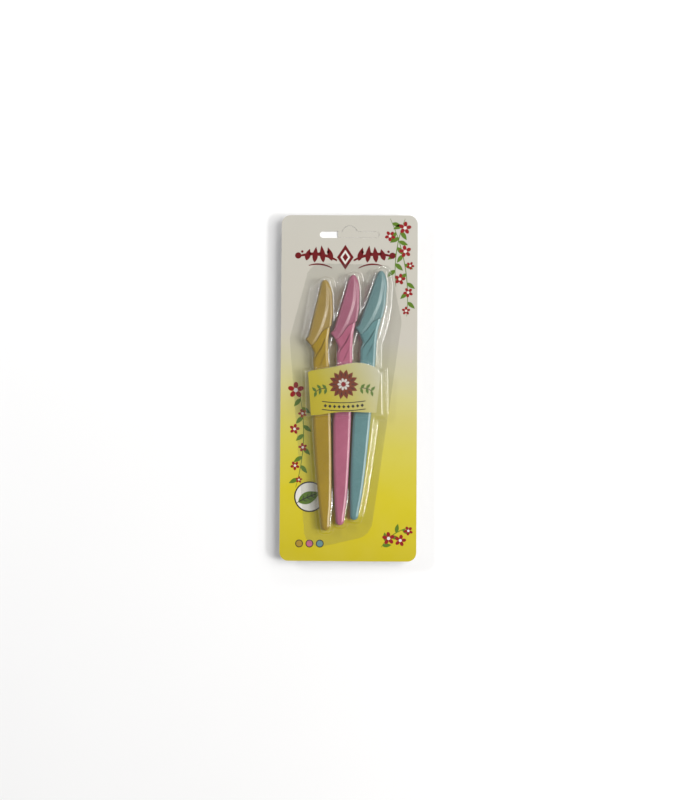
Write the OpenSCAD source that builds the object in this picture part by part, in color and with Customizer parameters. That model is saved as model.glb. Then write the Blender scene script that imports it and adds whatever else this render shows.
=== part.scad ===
// A carded blister pack of three capped eyebrow razors, lying on its back.
// X runs across the card, Y up the card towards the hang slot, Z out of the card's face.
// The origin is the middle of the card's back. All lengths are in millimetres.

/* [Card] */
// Width of the backing card
card_w = 82; // [76:1:100]
// Length of the backing card
card_l = 208; // [202:1:240]
// Thickness of the board
card_t = 0.5; // [0.3:0.1:1]
// Radius of the card's corners
card_corner_r = 5.4; // [2:0.2:9]

/* [Hang slot] */
// Width of the punched hang slot
hang_w = 36; // [30:1:44]
// Height of the slot's straight part
hang_h = 3.9; // [3:0.1:5]
// Width of the bump in the middle of the slot
hang_bump_w = 9.6; // [6:0.2:12]
// How far the bump stands above the slot
hang_bump_h = 3.6; // [2:0.2:4.5]
// Distance from the card's top edge to the slot's top edge
hang_margin = 9.8; // [8:0.2:14]
// Width of the part of the slot that has been pushed open
hang_open_w = 10.8; // [6:0.2:14]
// Width of the die cut around the flap that is still in the slot
hang_cut = 0.25; // [0.15:0.05:0.4]
// Width of each uncut nick that holds the flap
hang_nick_w = 1.2; // [0.6:0.1:2]

/* [Handle] */
// Length from the butt to the cap's lip on the spine side
handle_l = 122; // [110:1:130]
// Largest width of the handle
handle_w = 10.5; // [9:0.25:11.5]
// Thickness of the handle
handle_t = 4.6; // [4:0.1:5]
// Width of the bevel along each side of the handle's faces
handle_bevel_w = 1.4; // [0.8:0.1:1.8]
// Depth of the bevel along each side of the handle's faces
handle_bevel_h = 0.8; // [0.4:0.1:1.2]
// Radius of the rounded butt
butt_r = 2.8; // [2:0.1:3.5]
// Width of the moulded swoosh grooves under the cap
groove_w = 0.7; // [0.4:0.1:1]
// Depth of the moulded swoosh grooves
groove_d = 0.35; // [0.2:0.05:0.5]

/* [Cap] */
// Length of the cap along the blade, from its lower corner to its tip
cap_l = 36; // [34:0.5:40]
// Width of the cap across the blade, at its lip
cap_w = 12.3; // [11.5:0.1:13]
// Thickness of the cap
cap_t = 5.6; // [5.4:0.1:6.2]
// Thickness of the cap's walls
cap_wall = 1; // [0.7:0.1:1.1]
// Depth of the cap's bevel along its spine side
cap_bevel_h = 1.5; // [1:0.1:1.6]
// Width of the edge break along the cap's blade side
cap_edge_w = 0.6; // [0.3:0.1:0.9]
// Angle of the blade to the handle
blade_angle = 15.5; // [12:0.5:18]
// Gap between the cap's lip and the handle's shoulder
lip_gap = 0.2; // [0.1:0.05:0.4]

/* [Blade and safety cover] */
// Length of the blade
blade_l = 28; // [24:0.5:29]
// Width of the blade
blade_w = 3; // [2.6:0.1:3.2]
// Thickness of the blade
blade_t = 0.25; // [0.15:0.05:0.35]
// Width of the ground bevel along the cutting edge
blade_grind = 0.6; // [0.3:0.1:0.9]
// Distance from the cap's blade side to the cutting edge
blade_inset = 1.7; // [1.6:0.1:1.9]
// Thickness of the safety cover's sheet
cover_t = 0.15; // [0.1:0.05:0.2]
// Gap between the blade and the safety cover
cover_gap = 0.08; // [0.05:0.01:0.12]
// Width of the slots in the safety cover
cover_slot_w = 1.1; // [0.8:0.1:1.4]
// Spacing of the slots in the safety cover
cover_pitch = 2.4; // [2.2:0.1:3]
// Thickness of the tongue that carries the blade
tongue_t = 2.8; // [2.4:0.1:2.9]
// Radius of the pins that hold the blade and its cover
pin_r = 0.45; // [0.35:0.05:0.5]

/* [Blister] */
// Thickness of the clear film
film_t = 0.3; // [0.2:0.05:0.5]
// Free space round a handle inside its pocket
pocket_gap = 0.9; // [0.7:0.1:1.4]
// Widest free space right of the outer handle
outer_gap = 2.5; // [1.5:0.1:3]
// Free space above the razors inside the pockets
pocket_head = 0.5; // [0.3:0.1:1]
// Sideways widening of the pocket walls for each unit of height
pocket_draft = 0.28; // [0.2:0.02:0.5]
// Radius of the shoulders along the top of the pockets
pocket_shoulder = 1.2; // [0.6:0.1:1.6]
// Free space past the tip of each cap
tip_gap = 1; // [0.8:0.1:1.6]
// Free space beside each cap at its tip, on the blade side
tip_side_gap = 3.6; // [3:0.2:4.6]
// Width of the flat flange that is sealed to the card
flange_w = 9.6; // [7:0.2:11]
// Width of the flange past the highest tip
flange_tip_w = 4.2; // [3:0.2:6]

/* [Insert band] */
// Width of the printed insert at the top of its sides
insert_w = 43.3; // [41:0.5:46]
// Height of the insert at its sides
insert_h = 25.8; // [22:0.5:30]
// How far the insert and its raised pocket are turned, right end up
insert_tilt = 1; // [0:0.1:2]
// Thickness of the insert's board
insert_t = 0.4; // [0.2:0.05:0.5]
// How far the insert bows out over the handles
insert_rise = 2.2; // [1:0.1:3]
// Free space beside the insert in its raised pocket
insert_gap = 1.1; // [0.8:0.1:2]
// Extra free space at the insert's right end
insert_play = 0.8; // [0:0.2:2.4]
// Free space past the insert's top and bottom edges
insert_end_gap = 0.7; // [0.5:0.1:1.2]

/* [Fan] */
// Free space between neighbouring razors at the finger hook
fan_gap = 0.9; // [0.6:0.1:1.6]
// Free space between neighbouring razors at the butts
butt_gap = 1.2; // [0.8:0.1:2]
// Step from one butt to the next up the card
butt_step = 3.2; // [2:0.2:5]
// Tilt of the middle razor, leaning right
fan_tilt = 0.9; // [0:0.1:2]
// Place of the middle razor's butt across the card
fan_x = -5; // [-8:0.5:-2]
// Height of the middle razor's butt below the card's middle
fan_drop = 82.4; // [80:0.2:86]

/* [Hidden] */
$fn = 64;
overrun = 1;
// Clearance under the caps, and between the handles and the insert
seat_gap = 0.1;

// Colours, as the photograph shows them
card_colour = [0.80, 0.77, 0.60];
film_colour = [0.85, 0.92, 0.95, 0.35];
insert_colour = [0.88, 0.84, 0.45];
steel_colour = [0.75, 0.77, 0.80];
yellow_colour = [0.80, 0.66, 0.30];
pink_colour = [0.87, 0.45, 0.65];
teal_colour = [0.45, 0.75, 0.75];

// Heights above the card's back
face_z = card_t;
razor_z = face_z + seat_gap + cap_t / 2;
handle_top_z = razor_z + handle_t / 2;
cap_top_z = razor_z + cap_t / 2;
insert_z = handle_top_z + 2 * seat_gap;
insert_top_z = insert_z + insert_rise + insert_t;

// Edges of the handle, each row a share of its length and a share of its width
handle_left_shares = [
    [0, -0.20], [0.05, -0.238], [0.123, -0.311], [0.27, -0.398], [0.40, -0.45], [0.516, -0.476],
    [0.656, -0.42], [0.787, -0.333], [0.838, -0.36], [0.87, -0.279], [0.887, -0.352],
    [0.907, -0.467], [0.925, -0.54], [0.97, -0.50], [1.05, -0.45]
];
handle_right_shares = [
    [0, 0.24], [0.05, 0.276], [0.123, 0.375], [0.27, 0.46], [0.516, 0.524], [0.787, 0.538],
    [0.861, 0.514], [0.913, 0.533], [0.938, 0.552], [0.972, 0.633], [1.0, 0.68], [1.05, 0.74]
];

// Lower corner of the cap on the blade side, from the butt, in shares of the handle
cap_corner_shares = [-0.59, 0.951];

// Edges of the cap, each row a share of its length and a share of its width
cap_left_shares = [
    [-0.14, 0.27], [-0.12, 0.17], [-0.097, 0.07], [-0.08, 0], [-0.062, -0.076], [-0.045, -0.096],
    [-0.03, -0.085], [-0.012, -0.045], [0.01, -0.008], [0.03, 0], [0.5, 0], [0.90, 0],
    [0.955, 0.03], [0.985, 0.09], [1, 0.17]
];
cap_ridge_shares = [
    [-0.14, 0.30], [-0.05, 0.387], [0.04, 0.447], [0.17, 0.525], [0.32, 0.57], [0.47, 0.588],
    [0.605, 0.546], [0.77, 0.452], [0.90, 0.36], [0.965, 0.26], [1, 0.19]
];
// The inside of the cap follows its ridge from here to the tip, and runs straight before it
ridge_inner_share = 0.32;
cap_right_shares = [
    [-0.14, 1.10], [0.20, 1.04], [0.34, 0.976], [0.47, 0.903], [0.635, 0.772], [0.795, 0.634],
    [0.90, 0.49], [0.955, 0.37], [0.985, 0.28], [1, 0.20]
];
// The cap's lip, each row a share of the width and a share of the length
lip_shares = [
    [-0.20, -0.02], [-0.076, -0.062], [0.057, -0.101], [0.187, -0.127], [0.29, -0.12],
    [0.39, -0.07], [0.49, 0.01], [0.575, 0.105], [0.66, 0.165], [0.80, 0.215], [0.92, 0.255],
    [1.008, 0.29], [1.20, 0.31]
];
// How thick the cap is along its length, as a share of its full thickness
cap_thick_shares = [[-0.14, 1], [0.85, 1], [0.94, 0.93], [0.98, 0.78], [1, 0.55]];
// Where the cap's rings stand, as shares of its length
cap_ring_shares = [
    -0.14, -0.12, -0.097, -0.08, -0.062, -0.045, -0.03, -0.012, 0.01, 0.03, 0.12, 0.20, 0.28,
    0.37, 0.47, 0.56, 0.65, 0.74, 0.82, 0.88, 0.92, 0.955, 0.98, 1
];
// Swoosh grooves of the handle, each row a share of its length and a share of its width
groove_upper_shares = [[0.838, -0.28], [0.865, -0.10], [0.895, 0.13], [0.938, 0.36]];
groove_lower_shares = [[0.806, 0.01], [0.82, 0.10], [0.84, 0.20], [0.87, 0.35]];
// Width and depth of the lower groove, as a share of the upper one's
groove_lower_share = 0.6;

// Rings and rounding of the handle
round_share = 0.45;
butt_angles = [12, 30, 50, 70, 90];
handle_ring_shares = [
    0.05, 0.085, 0.123, 0.19, 0.27, 0.35, 0.43, 0.516, 0.60, 0.69, 0.74, 0.787, 0.815, 0.838,
    0.855, 0.87, 0.88, 0.89, 0.907, 0.925, 0.95, 0.975, 1, 1.05
];
// Places and small clearances of the blade, its cover and the tongue
blade_start = 1.5;
blade_show = 1.3;
tongue_left = blade_inset + blade_show;
// Clearance between the tongue and the inside of the cap
tongue_gap = 0.35;
tongue_root = 1;
tongue_end = 1;
// Clearance between the tongue's slit and the blade's ends
slit_gap = 0.15;
// Clearance round each pin
pin_gap = 0.1;
pin_inset = 0.95;
pin_x = blade_inset + blade_w - pin_inset;
pin_place_shares = [0.2, 0.8];
cover_half = blade_t / 2 + cover_gap + cover_t;
cover_edge = 0.25;
cover_slot_l = 1.1;
hollow_ring_shares = [-0.25, 0.2, 0.34, 0.47, 0.635, 0.795, 0.88, 0.945];

// Where the uncut nicks of the hang slot's flap stand
nick_place_shares = [-0.19, 0.19, 0.44];

// Places and shapes of the insert and the blister
insert_shift = 1.1;
insert_x = fan_x + fan_drop * tan(fan_tilt) + insert_shift;
insert_y = -16.55;
// Top and bottom edges of the insert, each row a share of its width and a share of its height
insert_top_shares = [
    [-0.49, 1.0], [-0.461, 1.029], [-0.391, 1.047], [-0.252, 1.081], [-0.114, 1.119],
    [0.024, 1.166], [0.148, 1.20], [0.196, 1.203], [0.244, 1.195], [0.299, 1.178],
    [0.402, 1.123], [0.483, 1.041], [0.511, 0.95]
];
insert_foot_shares = [
    [-0.455, 0], [-0.388, 0.004], [-0.333, 0.011], [-0.194, 0.044], [-0.056, 0.065],
    [0.081, 0.068], [0.219, 0.059], [0.356, 0.047], [0.446, 0.04]
];
// Free space beside each cap on its spine side
cap_side_gap = 1.4;
flange_spine_w = 11.4;
bend_share = 0.3;
// Rings of a handle's pocket: along, gaps out, slopes out, width and height shares
handle_pocket_shares = [
    [0, 1, 0.5, 0.6, 0.06], [0, 1, 0, 0.8, 0.8], [0.02, 0, 0, 1, 0.9], [0.123, 0, 0, 1, 0.9],
    [0.27, 0, 0, 1, 0.9], [0.4, 0, 0, 1, 0.9], [0.516, 0, 0, 1, 0.9], [0.656, 0, 0, 1, 0.91],
    [0.787, 0, 0, 1, 0.94], [0.85, 0, 0, 1, 0.96], [0.89, 0, 0, 1, 0.97], [0.93, 0, 0, 1, 0.97],
    [0.96, 0, 0, 1, 0.97], [0.98, 0, 0, 0.9, 0.8], [1, 0, 0, 0.6, 0.06]
];
// Rings of a cap's pocket: along, gaps out, slopes out, left and right drawn in, height shares
cap_pocket_shares = [
    [-0.15, -1, -0.9, 0.8, 0.1, 0.06], [-0.15, 0, 0, 0.5, 0, 0.8], [-0.09, 0, 0, 0.15, 0, 1],
    [-0.03, 0, 0, 0, 0, 1], [0.1, 0, 0, 0, 0, 1], [0.2, 0, 0, 0, 0, 1], [0.34, 0, 0, 0, 0, 1],
    [0.47, 0, 0, 0, 0, 1], [0.635, 0, 0, 0, 0, 1], [0.795, 0, 0, 0, 0, 1],
    [0.87, 0, 0, 0.12, 0, 1], [0.94, 0, 0, 0.55, 0, 1], [0.985, 0, 0, 1.1, 0.02, 1],
    [1, 0.5, 0, 1.5, 0.06, 0.96], [1, 1, 0, 1.7, 0.1, 0.8], [1, 1, 0.5, 1.6, 0.06, 0.06]
];
// Lean of a cap pocket's left wall, each row a share of the cap's length and of its side gap
cap_lean_shares = [
    [-0.15, 0], [-0.05, 0], [0.03, 0.28], [0.1, 0.4], [0.34, 0.58], [0.795, 0.9], [0.87, 0.8],
    [0.94, 0.45], [1, 0]
];
// Extra width right of the outer handle, each row a share of its length and of that width
outer_wall_shares = [[0, 0], [0.2, 0.35], [0.5, 1], [0.66, 1], [0.8, 0.3], [0.9, 0], [1, 0]];
// The part of a cap's right edge that its pocket follows
cap_pocket_end_share = 0.955;
// Rings of the bridge between its ends, as shares of the insert's half width
bridge_ring_shares = [-0.9, -0.6, -0.3, 0, 0.3, 0.6, 0.9];

// Value of a smooth curve through a table of rows, at a place x
function slope(t, i) =
    let (a = max(0, i - 1), b = min(len(t) - 1, i + 1))
    (t[b][1] - t[a][1]) / (t[b][0] - t[a][0]);
function row_before(t, x) =
    max([for (i = [0 : len(t) - 2]) (x >= t[i][0]) ? i : 0]);
function curve(t, x) =
    let (
        i = row_before(t, x),
        w = t[i + 1][0] - t[i][0],
        s = (x - t[i][0]) / w,
        blend = s * s * (3 - 2 * s)
    )
    t[i][1] * (1 - blend) + t[i + 1][1] * blend
    + slope(t, i) * w * s * (1 - s) * (1 - s) - slope(t, i + 1) * w * s * s * (1 - s);

// Where the inside of the cap follows the ridge
function inner_ridge(s) = curve(cap_ridge_shares, max(s, ridge_inner_share));

// One cross section with bevelled edges, from the left edge round to it again
function ring(y, left, right, half, bevel_left, bevel_right, edge_left, edge_right) = [
    [left, y, -edge_left], [left + bevel_left, y, -half],
    [right - bevel_right, y, -half], [right, y, -edge_right],
    [right, y, edge_right], [right - bevel_right, y, half],
    [left + bevel_left, y, half], [left, y, edge_left]
];

// A closed solid through a row of rings with equal numbers of points
module loft(rings) {
    n = len(rings[0]);
    last = (len(rings) - 1) * n;
    sides = [
        for (i = [0 : len(rings) - 2], j = [0 : n - 1], side = [0, 1])
            let (
                a = i * n + j,
                b = i * n + (j + 1) % n
            )
            side == 0 ? [a, b, b + n] : [a, b + n, a + n]
    ];
    polyhedron(
        points = [for (r = rings) each r],
        faces = concat(
            [[for (j = [n - 1 : -1 : 0]) j]],
            sides,
            [[for (j = [0 : n - 1]) last + j]]
        )
    );
}

// Places of the three razors
butt_w = handle_w * (handle_right_shares[2][1] - handle_left_shares[2][1]);
fan_pitch = butt_w + butt_gap;
hook_y = handle_l * cap_corner_shares[1] + cap_l * cap_left_shares[5][0];
hook_reach = -handle_w * cap_corner_shares[0] - cap_w * cap_left_shares[5][1];
neck_reach = handle_w * handle_right_shares[9][1];
tilt_step = atan((hook_reach + neck_reach + fan_gap - fan_pitch) / hook_y);

module at_razor(i) {
    translate([fan_x + (i - 1) * fan_pitch, (i - 1) * butt_step - fan_drop, 0])
        rotate([0, 0, -fan_tilt - (i - 1) * tilt_step])
            children();
}

// From the razor's frame to the cap's, whose Y runs along the blade
module at_cap() {
    translate([handle_w * cap_corner_shares[0], handle_l * cap_corner_shares[1], 0])
        rotate([0, 0, -blade_angle])
            children();
}

// Card
module slot_outline(inset) {
    half_w = hang_w / 2 - inset;
    half_h = hang_h / 2 - inset;
    end_x = half_w - half_h;
    bump_r = hang_bump_w / 2 - inset;
    bump_y = hang_h / 2 + hang_bump_h - hang_bump_w / 2;
    translate([-end_x, -half_h])
        square([2 * end_x, 2 * half_h]);
    for (side = [-1, 1])
        translate([side * end_x, 0])
            circle(r = half_h);
    intersection() {
        translate([0, bump_y])
            circle(r = bump_r);
        translate([-bump_r, 0])
            square([2 * bump_r, bump_y + bump_r]);
    }
}

module hang_cutout() {
    intersection() {
        slot_outline(0);
        translate([-hang_w / 2 - overrun, -hang_h])
            square([hang_open_w + overrun, 2 * hang_h + hang_bump_h]);
    }
    difference() {
        slot_outline(0);
        slot_outline(hang_cut);
        for (share = nick_place_shares)
            translate([hang_w * share, -hang_h])
                square([hang_nick_w, 2 * hang_h + hang_bump_h + overrun]);
    }
}

module backing_card() {
    corner_x = card_w / 2 - card_corner_r;
    corner_y = card_l / 2 - card_corner_r;
    color(card_colour)
        linear_extrude(card_t)
            difference() {
                union() {
                    square([2 * corner_x, card_l], center = true);
                    square([card_w, 2 * corner_y], center = true);
                    for (sx = [-1, 1], sy = [-1, 1])
                        translate([sx * corner_x, sy * corner_y])
                            circle(r = card_corner_r);
                }
                translate([0, card_l / 2 - hang_margin - hang_h / 2])
                    hang_cutout();
            }
}

// Handle
module lip_side(shift, far_y) {
    first = lip_shares[0][0];
    span = lip_shares[len(lip_shares) - 1][0] - first;
    steps = 26;
    shares = [for (i = [0 : steps]) first + span * i / steps];
    points = [for (v = shares) [cap_w * v, cap_l * curve(lip_shares, v) + shift]];
    translate([0, 0, -cap_t])
        linear_extrude(2 * cap_t)
            polygon(concat(points, [[points[steps][0], far_y], [points[0][0], far_y]]));
}

function handle_ring(y, fill) =
    let (
        s = max(y, butt_r) / handle_l,
        half = handle_t / 2 * (1 - round_share + round_share * fill)
    )
    ring(
        y,
        handle_w * curve(handle_left_shares, s) * fill,
        handle_w * curve(handle_right_shares, s) * fill,
        half, handle_bevel_w * fill, handle_bevel_w * fill,
        half - handle_bevel_h, half - handle_bevel_h
    );

module swoosh(shares, strength) {
    steps = 10;
    wide = groove_w * strength;
    deep = groove_d * strength;
    rows = [for (i = [0 : steps]) shares[0][0] + (shares[3][0] - shares[0][0]) * i / steps];
    left = [for (s = rows) [handle_w * curve(shares, s) - wide / 2, handle_l * s]];
    right = [for (i = [steps : -1 : 0]) left[i] + [wide, 0]];
    for (side = [0, 1])
        mirror([0, 0, side])
            translate([0, 0, handle_t / 2 - deep])
                linear_extrude(deep + overrun)
                    polygon(concat(left, right));
}

module tongue() {
    steps = 8;
    tip_y = blade_start + blade_l + tongue_end;
    start_share = (tongue_left + tongue_root / 2) / cap_w;
    end_share = inner_ridge(0) - tongue_gap / cap_w;
    root = [
        for (i = [0 : steps])
            let (v = start_share + (end_share - start_share) * i / steps)
            [cap_w * v, cap_l * curve(lip_shares, v) - tongue_root]
    ];
    back = [
        for (i = [0 : steps])
            let (y = root[steps][1] + (tip_y - root[steps][1]) * i / steps)
            [cap_w * inner_ridge(y / cap_l) - tongue_gap, y]
    ];
    heel = [tongue_left, cap_l * curve(lip_shares, tongue_left / cap_w)];
    translate([0, 0, -tongue_t / 2])
        linear_extrude(tongue_t)
            polygon(concat([[tongue_left, tip_y], heel], root, back));
}

module blade_slit() {
    slit_t = 2 * (cover_half + cover_gap);
    translate([tongue_left - overrun, blade_start - slit_gap, -slit_t / 2])
        cube([
            blade_inset + blade_w + slit_gap - tongue_left + overrun,
            blade_l + 2 * slit_gap,
            slit_t
        ]);
}

module at_pins() {
    for (share = pin_place_shares)
        translate([pin_x, blade_start + blade_l * share, 0])
            children();
}

module handle() {
    difference() {
        loft(concat(
            [for (a = butt_angles) handle_ring(butt_r * (1 - cos(a)), sin(a))],
            [for (s = handle_ring_shares) handle_ring(handle_l * s, 1)]
        ));
        at_cap()
            lip_side(-lip_gap, cap_l);
        swoosh(groove_upper_shares, 1);
        swoosh(groove_lower_shares, groove_lower_share);
    }
    at_cap() {
        difference() {
            tongue();
            blade_slit();
        }
        at_pins()
            cylinder(r = pin_r, h = tongue_t - 2 * pin_gap, center = true);
    }
}

// Blade and safety cover
module blade() {
    half = blade_t / 2;
    difference() {
        translate([blade_inset, blade_start + blade_l, 0])
            rotate([90, 0, 0])
                linear_extrude(blade_l)
                    polygon([
                        [0, 0], [blade_grind, -half], [blade_w, -half],
                        [blade_w, half], [blade_grind, half]
                    ]);
        at_pins()
            cylinder(r = pin_r + pin_gap, h = tongue_t, center = true);
    }
}

module safety_cover() {
    fold_x = blade_inset - 2 * cover_gap - cover_t;
    reach = pin_x + pin_r + pin_gap + cover_edge - fold_x;
    slots = floor(blade_l / cover_pitch) - 1;
    first_y = blade_start + (blade_l - (slots - 1) * cover_pitch) / 2;
    difference() {
        translate([fold_x, blade_start + blade_l, 0])
            rotate([90, 0, 0])
                linear_extrude(blade_l)
                    polygon([
                        [0, -cover_half], [reach, -cover_half],
                        [reach, cover_t - cover_half], [cover_t, cover_t - cover_half],
                        [cover_t, cover_half - cover_t], [reach, cover_half - cover_t],
                        [reach, cover_half], [0, cover_half]
                    ]);
        for (i = [0 : slots - 1])
            translate([fold_x - overrun, first_y + i * cover_pitch - cover_slot_w / 2, -cap_t / 2])
                cube([overrun + cover_slot_l, cover_slot_w, cap_t]);
        at_pins()
            cylinder(r = pin_r + pin_gap, h = tongue_t, center = true);
    }
}

// Cap
function cap_ring(s) =
    let (
        left = cap_w * curve(cap_left_shares, s),
        ridge = cap_w * curve(cap_ridge_shares, s),
        right = cap_w * curve(cap_right_shares, s),
        thick = curve(cap_thick_shares, s),
        half = cap_t / 2 * thick,
        edge = min(cap_edge_w, (ridge - left) / 2)
    )
    ring(
        cap_l * s, left, right, half, edge, right - ridge,
        half - edge * thick, half - cap_bevel_h * thick
    );

function hollow_ring(s) =
    let (
        right = cap_w * curve(cap_right_shares, s) - cap_wall,
        ridge = min(cap_w * inner_ridge(s), right - cap_wall / 3),
        half = cap_t / 2 - cap_wall
    )
    ring(
        cap_l * s, cap_wall, right, half, cap_wall / 4, right - ridge,
        half - cap_wall / 4, cap_t / 2 - cap_bevel_h - cap_wall / 2
    );

module cap() {
    at_cap()
        difference() {
            loft([for (s = cap_ring_shares) cap_ring(s)]);
            loft([for (s = hollow_ring_shares) hollow_ring(s)]);
            lip_side(0, -cap_l);
        }
}

// Insert band
module at_insert() {
    translate([insert_x, insert_y, 0])
        rotate([0, 0, insert_tilt])
            children();
}

// The insert's top edge, above its lowest corner, at a place across it
function crown_y(x) =
    let (
        first = insert_top_shares[0][0],
        last = insert_top_shares[len(insert_top_shares) - 1][0]
    )
    insert_h * curve(insert_top_shares, min(max(x / insert_w, first), last));

// Points along one of the insert's edges, from left to right
function insert_edge(t) =
    let (
        steps = 20,
        first = t[0][0],
        span = t[len(t) - 1][0] - first
    )
    [
        for (i = [0 : steps])
            let (share = first + span * i / steps)
            [insert_w * share, insert_h * curve(t, share)]
    ];

module insert_band() {
    bow_r = (pow(insert_w / 2, 2) + pow(insert_rise, 2)) / (2 * insert_rise);
    tube_l = 2 * insert_h;
    top = insert_edge(insert_top_shares);
    color(insert_colour)
        at_insert()
            intersection() {
                translate([0, insert_h + tube_l / 2, insert_z + insert_rise - bow_r])
                    rotate([90, 0, 0])
                        difference() {
                            cylinder(r = bow_r + insert_t, h = tube_l, $fn = 128);
                            cylinder(r = bow_r, h = tube_l, $fn = 128);
                        }
                linear_extrude(insert_top_z + overrun)
                    polygon(concat(
                        insert_edge(insert_foot_shares),
                        [for (i = [len(top) - 1 : -1 : 0]) top[i]]
                    ));
            }
}

// Blister
function pocket_ring(y, left, right, roof, grow, lean = 0) =
    let (
        base = face_z - (grow > 0 ? 0 : overrun),
        top = roof + grow,
        bend = min(pocket_shoulder, (top - base) / 3),
        low = pocket_draft * (top - bend - base),
        a = left - grow,
        b = right + grow
    )
    [
        [a - low - lean, y, base], [b + low, y, base],
        [b, y, top - bend], [b - bend * bend_share, y, top - bend * bend_share], [b - bend, y, top],
        [a + bend, y, top], [a + bend * bend_share, y, top - bend * bend_share], [a, y, top - bend]
    ];

module handle_pocket(grow, extra) {
    roof_h = cap_top_z + pocket_head - face_z;
    slope_l = pocket_draft * roof_h;
    loft([
        for (row = handle_pocket_shares)
            pocket_ring(
                handle_l * row[0] - (pocket_gap + grow) * row[1] - slope_l * row[2],
                (handle_w * curve(handle_left_shares, row[0]) - pocket_gap) * row[3],
                (handle_w * curve(handle_right_shares, row[0]) + pocket_gap) * row[3]
                + extra * curve(outer_wall_shares, row[0]),
                face_z + roof_h * row[4], grow
            )
    ]);
}

module cap_pocket(grow) {
    roof_h = cap_top_z + pocket_head - face_z;
    slope_l = pocket_draft * roof_h;
    hook_left = cap_w * cap_left_shares[5][1] - pocket_gap;
    widening = tip_side_gap - pocket_gap;
    loft([
        for (row = cap_pocket_shares)
            let (
                edge = cap_w * curve(cap_right_shares, min(row[0], cap_pocket_end_share)),
                lean = tip_side_gap * curve(cap_lean_shares, row[0])
            )
            pocket_ring(
                cap_l * row[0] + (tip_gap + grow) * row[1] + slope_l * row[2],
                hook_left - widening * max(row[0], 0) + tip_side_gap * row[3] + lean,
                edge + cap_side_gap - cap_w * row[4],
                face_z + roof_h * row[5], grow, lean
            )
    ]);
}

module bridge_pocket(grow) {
    roof = insert_top_z + pocket_head;
    slope_l = pocket_draft * (roof - face_z);
    half_w = insert_w / 2;
    low_end = -half_w - insert_gap - insert_play - grow;
    high_end = half_w + insert_gap + grow;
    rings = concat(
        [[low_end - slope_l, face_z + film_t], [low_end, roof - pocket_shoulder]],
        [[low_end + pocket_shoulder, roof]],
        [for (share = bridge_ring_shares) [half_w * share, roof]],
        [[high_end - pocket_shoulder, roof]],
        [[high_end, roof - pocket_shoulder], [high_end + slope_l, face_z + film_t]]
    );
    at_insert()
        rotate([0, 0, 90])
            loft([
                for (r = rings)
                    pocket_ring(r[0], -insert_end_gap, crown_y(-r[0]) + insert_end_gap, r[1], grow)
            ]);
}

module pockets(grow) {
    for (i = [0 : 2])
        at_razor(i) {
            handle_pocket(grow, i == 2 ? outer_gap - pocket_gap : 0);
            at_cap()
                cap_pocket(grow);
        }
    bridge_pocket(grow);
}

module flange() {
    hook = [cap_w * cap_left_shares[5][1], cap_l * cap_left_shares[5][0]];
    shoulder = [cap_w * cap_right_shares[1][1], cap_l * cap_right_shares[1][0]];
    highest = [cap_w * cap_right_shares[8][1], cap_l];
    butt = [handle_w * handle_left_shares[2][1], 0];
    translate([0, 0, face_z])
        linear_extrude(film_t)
            hull() {
                at_razor(0) {
                    translate(butt)
                        circle(r = flange_w);
                    at_cap() {
                        translate(hook)
                            circle(r = flange_w);
                        translate([0, cap_l])
                            circle(r = flange_w);
                    }
                }
                at_razor(2) {
                    circle(r = flange_spine_w);
                    at_cap() {
                        translate(shoulder)
                            circle(r = flange_spine_w);
                        translate(highest)
                            circle(r = flange_tip_w);
                    }
                }
            }
}

module blister_shell() {
    color(film_colour)
        difference() {
            union() {
                flange();
                pockets(film_t);
            }
            pockets(0);
        }
}

// The three razors
module razor_piece(i, tint) {
    color(tint)
        at_razor(i)
            translate([0, 0, razor_z])
                children();
}

module yellow_handle() {
    razor_piece(0, yellow_colour)
        handle();
}

module yellow_blade() {
    razor_piece(0, steel_colour)
        at_cap() blade();
}

module yellow_safety_cover() {
    razor_piece(0, steel_colour)
        at_cap() safety_cover();
}

module yellow_cap() {
    razor_piece(0, yellow_colour)
        cap();
}

module pink_handle() {
    razor_piece(1, pink_colour)
        handle();
}

module pink_blade() {
    razor_piece(1, steel_colour)
        at_cap() blade();
}

module pink_safety_cover() {
    razor_piece(1, steel_colour)
        at_cap() safety_cover();
}

module pink_cap() {
    razor_piece(1, pink_colour)
        cap();
}

module teal_handle() {
    razor_piece(2, teal_colour)
        handle();
}

module teal_blade() {
    razor_piece(2, steel_colour)
        at_cap() blade();
}

module teal_safety_cover() {
    razor_piece(2, steel_colour)
        at_cap() safety_cover();
}

module teal_cap() {
    razor_piece(2, teal_colour)
        cap();
}

backing_card();
blister_shell();
insert_band();
yellow_handle();
yellow_blade();
yellow_safety_cover();
yellow_cap();
pink_handle();
pink_blade();
pink_safety_cover();
pink_cap();
teal_handle();
teal_blade();
teal_safety_cover();
teal_cap();
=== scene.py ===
# Looks of the carded razor pack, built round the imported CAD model. Shapes are worked out in
# millimetres, in the part's own frame, and turned into metres when a mesh is made.
import math

import bmesh
import bpy
import numpy as np
from mathutils import Matrix, Vector


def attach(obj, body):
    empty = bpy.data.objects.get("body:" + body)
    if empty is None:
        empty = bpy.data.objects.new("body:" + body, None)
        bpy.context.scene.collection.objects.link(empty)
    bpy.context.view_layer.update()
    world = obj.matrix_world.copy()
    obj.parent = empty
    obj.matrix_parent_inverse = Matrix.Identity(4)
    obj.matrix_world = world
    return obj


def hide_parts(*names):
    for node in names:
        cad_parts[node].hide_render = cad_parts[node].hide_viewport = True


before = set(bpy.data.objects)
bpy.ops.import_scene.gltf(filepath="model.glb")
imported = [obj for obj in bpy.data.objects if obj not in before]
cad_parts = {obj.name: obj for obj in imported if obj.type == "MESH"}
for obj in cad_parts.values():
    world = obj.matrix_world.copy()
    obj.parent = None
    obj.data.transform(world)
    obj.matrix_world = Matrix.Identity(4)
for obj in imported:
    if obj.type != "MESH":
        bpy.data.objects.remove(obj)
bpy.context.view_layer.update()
MM = 0.001

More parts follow.
